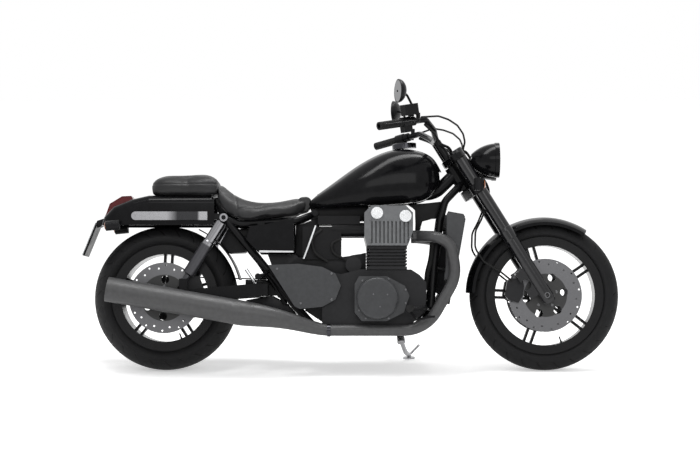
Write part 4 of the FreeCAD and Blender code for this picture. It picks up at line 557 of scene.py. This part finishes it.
def lamp_insides():
    """A reflector and a bulb behind each headlamp's lens."""
    low, high = node_span("headlamp_lenses")
    radius = (high.z - low.z) / 2
    reflector, bulb = bmesh.new(), bmesh.new()
    for side in (RIGHT, LEFT):
        centre = spot(low.x, side * (high.y - radius), (low.z + high.z) / 2)
        local = facing(centre, way(1, 0, 0))
        shape = [(radius * 0.97 * math.sqrt(1 - k / 9), -k * 5 - 1) for k in range(9)]
        lathe(reflector, local, shape, 48)
        lathe(bulb, local, [(0.1, -12), (5, -14), (7, -20), (7, -34), (4, -40)], 20)
    add_piece("headlamp_reflectors", reflector, "chrome", "steering")
    add_piece("headlamp_bulbs", bulb, "lens_clear", "steering")


def mirror_glasses():
    low, high = node_span("mirrors")
    bm = bmesh.new()
    for side in (RIGHT, LEFT):
        outside = spot(low.x - 200, side * (high.y - 62), high.z - 49)
        seat, normal = surface_hit("mirrors", outside, way(1, 0, 0))
        back = normal if normal.dot(way(1, 0, 0)) < 0 else -normal
        local = facing(seat + back * 0.0006, back)
        oval = [(60 * math.cos(a), 44 * math.sin(a), 0) for a in turn_steps(48)]
        cap(bm, [bm.verts.new(spot(*point, local)) for point in oval])
    add_piece("mirror_glasses", bm, "mirror_glass", "steering")


def indicator_lenses():
    for node, ahead in (("front_indicators", 1), ("rear_indicators", -1)):
        low, high = node_span(node)
        tip = high.x if ahead > 0 else low.x
        bm = bmesh.new()
        radius = 19
        for side in (RIGHT, LEFT):
            outside = spot(tip + ahead * OUTSIDE, side * (high.y - 24), (low.z + high.z) / 2)
            seat, _ = surface_hit(node, outside, way(-ahead, 0, 0))
            if seat is None:
                continue
            local = facing(seat, way(ahead, 0, 0))
            dome = [(radius, 0), (radius * 0.94, 2), (radius * 0.7, 4.2), (radius * 0.35, 5.4), (0.2, 5.8)]
            lathe(bm, local, dome, 28)
        add_piece(node + "_lenses", bm, "lens_amber", body_of(node))


def dial_face():
    low, high = node_span("tank_dial")
    centre = (low + high) / 2
    seat, normal = surface_hit("tank_dial", spot(centre.x, 0, high.z + 80), way(0, 0, -1))
    if normal.dot(way(0, 0, 1)) < 0:
        normal = -normal
    radius = (high.y - low.y) / 2
    local = facing(seat, normal)
    face = bmesh.new()
    lathe(face, local, [(radius - 8, 0.3), (0.2, 0.5)], 48)
    add_piece("dial_face", face, "gloss_black", "chassis")
    rim = bmesh.new()
    section = [(0.5, -2), (0.5, 1.5), (3, 3), (7, 2.4), (8, 0.2)]
    lathe(rim, local, [(radius - inset, height) for inset, height in section], 48)
    add_piece("dial_rim", rim, "dark_chrome", "chassis")


def panel_trim():
    """The bright strip along the bottom edge of each upper side panel."""
    face = abs(node_span("upper_side_panels")[0].y) + 0.2
    corners = [(-408, 500.5), (-262, 500.5), (-262, 507), (-405, 509)]
    for side, name in SIDES:
        bm = bmesh.new()
        inner = [bm.verts.new(spot(x, side * (face - 1.5), z)) for x, z in corners]
        outer = [bm.verts.new(spot(x, side * (face + 2.2), z)) for x, z in corners]
        cap(bm, inner)
        cap(bm, outer[::-1])
        wall(bm, inner, outer)
        add_piece(f"panel_trim_{name}", bm, "alloy", "chassis")


def exhaust_clamps():
    """A band clamp round each joint between header and muffler."""
    bm = bmesh.new()
    for side in (RIGHT, LEFT):
        seat = spot(-100, side * 170, 171)
        local = facing(seat - way(1, 0, 0) * 0.004, way(-1, 0, 0))
        lathe(bm, local, [(24.2, 0), (26.5, 0.6), (26.5, 15), (24.6, 15.6)], 40)
    add_piece("exhaust_clamps", bm, "dark_chrome", "chassis")


def valve_stems():
    for wheel, node, reach in ((FRONT, "front_rim", 213), (REAR, "rear_rim", 186)):
        bm = bmesh.new()
        outward = way(0.35, 0, -0.94, wheel)
        seat, _ = surface_hit(node, wheel.translation + outward * (reach - 40) * MM, outward)
        if seat is None:
            continue
        rings = lathe(bm, facing(seat, -outward), [(5, -1), (4.2, 6), (3.2, 8), (3.2, 24), (2.4, 26)], 14)
        cap(bm, rings[-1])
        add_piece(node.replace("rim", "valve"), bm, "rubber", body_of(node))


# Plain forms between the main ones: slabs and bent tubes


def slab(name, outline, near, far, material, body="chassis", edge=4):
    """A block with rounded edges, from y near to y far.

    Its outline is given as (x, z) in the machine's middle plane.
    """
    bm = bmesh.new()
    first = [bm.verts.new(spot(x, near, z)) for x, z in outline]
    last = [bm.verts.new(spot(x, far, z)) for x, z in outline]
    cap(bm, first)
    cap(bm, last[::-1])
    wall(bm, first, last)
    bmesh.ops.bevel(bm, geom=bm.edges[:], offset=edge * MM, segments=3, profile=0.5, affect="EDGES")
    return add_piece(name, bm, material, body)


def smooth_path(points, steps=8):
    """A smooth curve through the points, ends included."""
    ends = [points[0] * 2 - points[1], *points, points[-1] * 2 - points[-2]]
    path = []
    for a, b, c, d in zip(ends, ends[1:], ends[2:], ends[3:]):
        for k in range(steps):
            t = k / steps
            squared = (2 * a - 5 * b + 4 * c - d) * t**2
            cubed = (3 * b - a - 3 * c + d) * t**3
            path.append(0.5 * (2 * b + (c - a) * t + squared + cubed))
    return [*path, points[-1]]


def tube(bm, points, radius, local=MACHINE, segments=14):
    """A round bar, hose or cable through points in millimetres, closed at both ends."""
    path = smooth_path([spot(*point, local) for point in points])
    rings = []
    for k, place in enumerate(path):
        along = path[min(k + 1, len(path) - 1)] - path[max(k - 1, 0)]
        here = facing(place, along, (0.1, 1, 0.05))
        circle = [Vector((math.cos(a), math.sin(a), 0)) for a in turn_steps(segments)]
        rings.append([bm.verts.new(here @ (point * radius * MM)) for point in circle])
    for lower, upper in zip(rings, rings[1:]):
        wall(bm, lower, upper)
    cap(bm, rings[0])
    cap(bm, rings[-1][::-1])


def tubes(name, runs, material, body="chassis"):
    """One piece made of tubes, each given by its points and its radius."""
    bm = bmesh.new()
    for points, radius in runs:
        tube(bm, points, radius)
    add_piece(name, bm, material, body)


# The blocks between the covers: name, half width, finish and outline in the machine's middle plane
INNER_BLOCKS = [
    (
        "battery_box",
        62,
        "black_plastic",
        [(-578, 542), (-545, 604), (-452, 604), (-455, 560), (-470, 503), (-541, 500)],
    ),
    (
        "relay_box",
        45,
        "black_plastic",
        [(-255, 622), (-222, 624), (-156, 656), (-150, 470), (-255, 470)],
    ),
    (
        "gearbox_top",
        70,
        "engine_black",
        [(-375, 498), (-250, 494), (-245, 478), (-60, 474), (-52, 485), (-10, 488), (46, 503), (46, 400)]
        + [(-340, 400)],
    ),
    (
        "wire_tray",
        36,
        "black_plastic",
        [(-190, 655), (-150, 698), (50, 704), (64, 694), (45, 640), (-190, 640)],
    ),
    (
        "coil_block",
        22,
        "black_plastic",
        [(224, 712), (300, 716), (372, 724), (366, 652), (330, 650), (286, 643), (280, 600), (258, 598)]
        + [(262, 690)],
    ),
    (
        "lower_link",
        64,
        "engine_black",
        [(-466, 300), (-354, 320), (-290, 285), (-251, 240), (-300, 236), (-400, 262), (-466, 285)],
    ),
    (
        "swingarm_bridge",
        44,
        "frame_black",
        [(-470, 388), (-365, 386), (-352, 362), (-470, 360)],
    ),
    (
        "tail_frame",
        54,
        "frame_black",
        [(-604, 736), (-584, 740), (-520, 662), (-502, 642), (-572, 638), (-598, 700)],
    ),
]


def inner_parts():
    """What fills the machine between its covers: blocks, the seat's tongue, the rear tyre's liner."""
    for name, half, material, outline in INNER_BLOCKS:
        slab(name, outline, -half, half, material)
    tongue = [(-236, 741), (-206, 744), (-190, 734), (-188, 702), (-206, 678), (-262, 664), (-262, 712)]
    slab("seat_tongue", tongue, -44, 44, "seat_leather", edge=7)
    rear_liner()


def rear_liner():
    """A thin curved sheet ahead of the rear tyre, which it follows through 50 degrees."""
    section = ((323, -80), (328, -80), (328, 80), (323, 80))
    bm = bmesh.new()
    rows = []
    for k in range(25):
        turn = math.radians(14 + 50 * k / 24)
        x, z = math.cos(turn), math.sin(turn)
        rows.append([bm.verts.new(spot(r * x, y, r * z, REAR)) for r, y in section])
    for lower, upper in zip(rows, rows[1:]):
        wall(bm, lower, upper)
    cap(bm, rows[0])
    cap(bm, rows[-1][::-1])
    add_piece("rear_liner", bm, "black_plastic", "chassis")


def oil_unions():
    """The block of oil unions ahead of the crankcase, with its bright plugs."""
    slab("union_block", [(196, 212), (302, 212), (302, 246), (196, 246)], -88, -40, "engine_black")
    outward = way(0, -1, 0)
    bm = bmesh.new()
    for x in (213, 250, 286):
        rings = lathe(bm, facing(spot(x, -87, 228), outward), [(8, 0), (8, 4), (6, 6), (0.4, 7)], 24)
        cap(bm, rings[0])
    seat, _ = surface_hit("crankcase", spot(190, -400, 274), way(0, 1, 0))
    if seat is not None:
        rings = lathe(bm, facing(seat, outward), [(15, -1), (15, 5), (12, 8), (0.4, 9)], 28)
        cap(bm, rings[0])
    add_piece("oil_plugs", bm, "alloy", "chassis")


def lines_and_rods():
    """Hoses, two bright rods and a stay that show on the right side, and a control cable on each side; the
    front rod is a painted highlight.
    """
    radiator_hose = [(332, -60, 560), (324, -66, 480), (308, -66, 410), (306, -50, 345)]
    front_breather = [(-60, -84, 560), (-96, -96, 540), (-92, -98, 500), (-40, -92, 470)]
    rear_breather = [(-142, -90, 600), (-182, -104, 560), (-170, -108, 500), (-120, -98, 462)]
    tubes("hoses", [(radiator_hose, 12), (front_breather, 6), (rear_breather, 7)], "rubber")
    # Painted highlight: a bright rod laid where only the edge of a frame tube catches the light.
    painted_highlight_rod = [(-168, -122, 615), (-192, -124, 548), (-219, -122, 474)]
    rear_rod = [(-465, -100, 431), (-433, -100, 384), (-401, -98, 338)]
    tubes("bright_rod_and_painted_highlight", [(painted_highlight_rod, 5), (rear_rod, 7)], "alloy")
    tubes("dark_stay", [([(-410, -86, 457), (-352, -86, 370), (-295, -86, 283)], 9)], "frame_black")
    run = [(290, 296, 1027), (334, 190, 998), (362, 110, 966), (404, 48, 950), (424, 24, 905), (430, 20, 880)]
    cables = [([(x, side * y, z) for x, y, z in run], 6) for side in (RIGHT, LEFT)]
    tubes("control_cables", cables, "rubber", "steering")


# Soft pieces: each seat starts from its CAD solid's form and is blown up as cloth


def blown_pad(name, node, shrink, voxel=0.005, limit=0.009):
    """A pad with the node's form, remeshed, made smaller by shrink and swollen by at most limit."""
    piece = bpy.data.objects.new(name, NODES[node].data.copy())
    bpy.context.scene.collection.objects.link(piece)
    piece.data.remesh_voxel_size = voxel
    bpy.context.view_layer.objects.active = piece
    bpy.ops.object.select_all(action="DESELECT")
    piece.select_set(True)
    bpy.ops.object.voxel_remesh()
    normals = [vertex.normal.copy() for vertex in piece.data.vertices]
    for vertex, normal in zip(piece.data.vertices, normals):
        vertex.co -= normal * shrink
    start = [vertex.co.copy() for vertex in piece.data.vertices]
    swell(piece)
    for vertex, first in zip(piece.data.vertices, start):
        move = vertex.co - first
        if move.length > limit:
            vertex.co = first + move.normalized() * limit
    smooth_over(piece, 30)
    return piece


def apply_modifier(piece, name):
    bpy.context.view_layer.objects.active = piece
    bpy.ops.object.modifier_apply(modifier=name)


def swell(piece):
    """Cloth with air pressure inside, run for a few frames and kept as the mesh."""
    cloth = piece.modifiers.new("cloth", "CLOTH")
    cloth.settings.use_pressure = True
    cloth.settings.uniform_pressure_force = 4
    cloth.settings.effector_weights.gravity = 0
    cloth.settings.tension_stiffness = 20
    cloth.settings.compression_stiffness = 20
    cloth.point_cache.frame_end = CLOTH_FRAMES
    scene = bpy.context.scene
    for number in range(1, CLOTH_FRAMES + 1):
        scene.frame_set(number)
    apply_modifier(piece, "cloth")
    scene.frame_set(1)


def smooth_over(piece, times):
    """Takes out the small folds that cloth leaves."""
    smoother = piece.modifiers.new("smoother", "SMOOTH")
    smoother.factor = 0.5
    smoother.iterations = times
    apply_modifier(piece, "smoother")


def subdivide(piece):
    finer = piece.modifiers.new("finer", "SUBSURF")
    finer.levels = finer.render_levels = 1
    apply_modifier(piece, "finer")


def sew(piece, seams, width=3.0, depth=0.0022):
    """Presses seams into the cover, each a function that gives a point's distance from it in millimetres."""
    inverse = MACHINE.inverted()
    for vertex in piece.data.vertices:
        place = (inverse @ vertex.co) / MM
        near = min(abs(seam(place)) for seam in seams)
        if near < width * 3:
            vertex.co -= vertex.normal * depth * math.exp(-((near / width) ** 2))


def finish_soft(piece, node):
    subdivide(piece)
    dress(piece, MATERIALS[SLOTS[node]])
    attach(piece, body_of(node))
    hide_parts(node)


def rider_seat():
    piece = blown_pad("seat_cushion", "rider_seat", shrink=0.001)
    low, high = node_span("rider_seat")
    side = (high.y - low.y) * 0.5 - 22
    seams = [lambda p: abs(p.y) - side * min(1, (high.x + 10 - p.x) / 200)]
    seams.append(lambda p: p.x - (low.x + 62) - 0.0012 * p.y * p.y)
    sew(piece, seams)
    finish_soft(piece, "rider_seat")


def pillion_pad():
    piece = blown_pad("pillion_cushion", "pillion_pad", shrink=0.001, voxel=0.004, limit=0.007)
    low, high = node_span("pillion_pad")
    middle = (low.z + high.z) / 2
    sew(piece, [lambda p: p.z - middle - 4])
    finish_soft(piece, "pillion_pad")


# The stage


def seen_rays(tree):
    """1 for rays that show the stage to the camera, straight or by gloss or glass, and 0 for light."""
    path = tree.nodes.new("ShaderNodeLightPath")
    seen = path.outputs["Is Camera Ray"]
    for ray in ("Is Glossy Ray", "Is Transmission Ray"):
        both = tree.nodes.new("ShaderNodeMath")
        both.operation = "MAXIMUM"
        tree.links.new(seen, both.inputs[0])
        tree.links.new(path.outputs[ray], both.inputs[1])
        seen = both.outputs[0]
    return seen


def make_floor():
    """A pale floor that the light brings to white wherever the object casts no shadow."""
    bpy.ops.mesh.primitive_plane_add(size=60)
    floor = bpy.context.object
    floor.name = "floor"
    shader = Shader("floor", (0.97, 0.97, 0.97), 0.9, specular=0.0)
    glow = shader.times(seen_rays(shader.tree), FLOOR_GLOW)
    shader.drive("Emission Strength", glow)
    shader.set("Emission Color", WHITE)
    floor.data.materials.append(shader.material)


def make_world():
    """Soft surrounding light, and plain white wherever the camera, gloss or glass looks past the floor."""
    world = bpy.data.worlds.new("studio")
    bpy.context.scene.world = world
    world.use_nodes = True
    nodes, links = world.node_tree.nodes, world.node_tree.links
    nodes.clear()
    seen = seen_rays(world.node_tree)
    light, white = nodes.new("ShaderNodeBackground"), nodes.new("ShaderNodeBackground")
    light.inputs["Color"].default_value = WHITE
    light.inputs["Strength"].default_value = WORLD_LIGHT
    white.inputs["Color"].default_value = WHITE
    white.inputs["Strength"].default_value = 1.0
    mix, output = nodes.new("ShaderNodeMixShader"), nodes.new("ShaderNodeOutputWorld")
    links.new(seen, mix.inputs["Fac"])
    links.new(light.outputs[0], mix.inputs[1])
    links.new(white.outputs[0], mix.inputs[2])
    links.new(mix.outputs[0], output.inputs["Surface"])


def area_light(name, place, target, size, power):
    data = bpy.data.lights.new(name, "AREA")
    data.shape = "RECTANGLE"
    data.size, data.size_y = size
    data.energy = power
    lamp = bpy.data.objects.new(name, data)
    bpy.context.scene.collection.objects.link(lamp)
    lamp.location = place
    lamp.rotation_euler = (Vector(target) - Vector(place)).to_track_quat("-Z", "Y").to_euler()


def make_lights():
    area_light("overhead", (0.1, -0.1, 3.6), (0, 0, 0.5), (4.6, 0.7), 120)
    area_light("front fill", (0.6, -4.2, 2.6), (0, 0, 0.6), (4.0, 1.6), 40)
    area_light("rear rim", (-0.5, 3.4, 2.6), (0, 0, 0.6), (3.4, 1.0), 8)


def make_camera():
    """The photograph's view: from the machine's right, eight metres away and 6 degrees above level."""
    distance, elevation, lens_length = 8.0, math.radians(6), 95.5
    target = Vector((-0.006, -0.0605, 0.617))
    data = bpy.data.cameras.new("camera")
    data.lens = lens_length
    data.sensor_width = 36
    camera = bpy.data.objects.new("camera", data)
    bpy.context.scene.collection.objects.link(camera)
    back = Vector((0, -math.cos(elevation), math.sin(elevation)))
    camera.location = target + back * distance
    camera.rotation_mode = "QUATERNION"
    camera.rotation_quaternion = (-back).to_track_quat("-Z", "Y")
    bpy.context.scene.camera = camera


dress_nodes()
cover_bolts()
wheel_bolts()
axle_nuts()
lamp_insides()
mirror_glasses()
indicator_lenses()
dial_face()
panel_trim()
exhaust_clamps()
valve_stems()
inner_parts()
oil_unions()
lines_and_rods()
rider_seat()
pillion_pad()
make_floor()
make_world()
make_lights()
make_camera()
bpy.context.scene.view_settings.view_transform = "Standard"
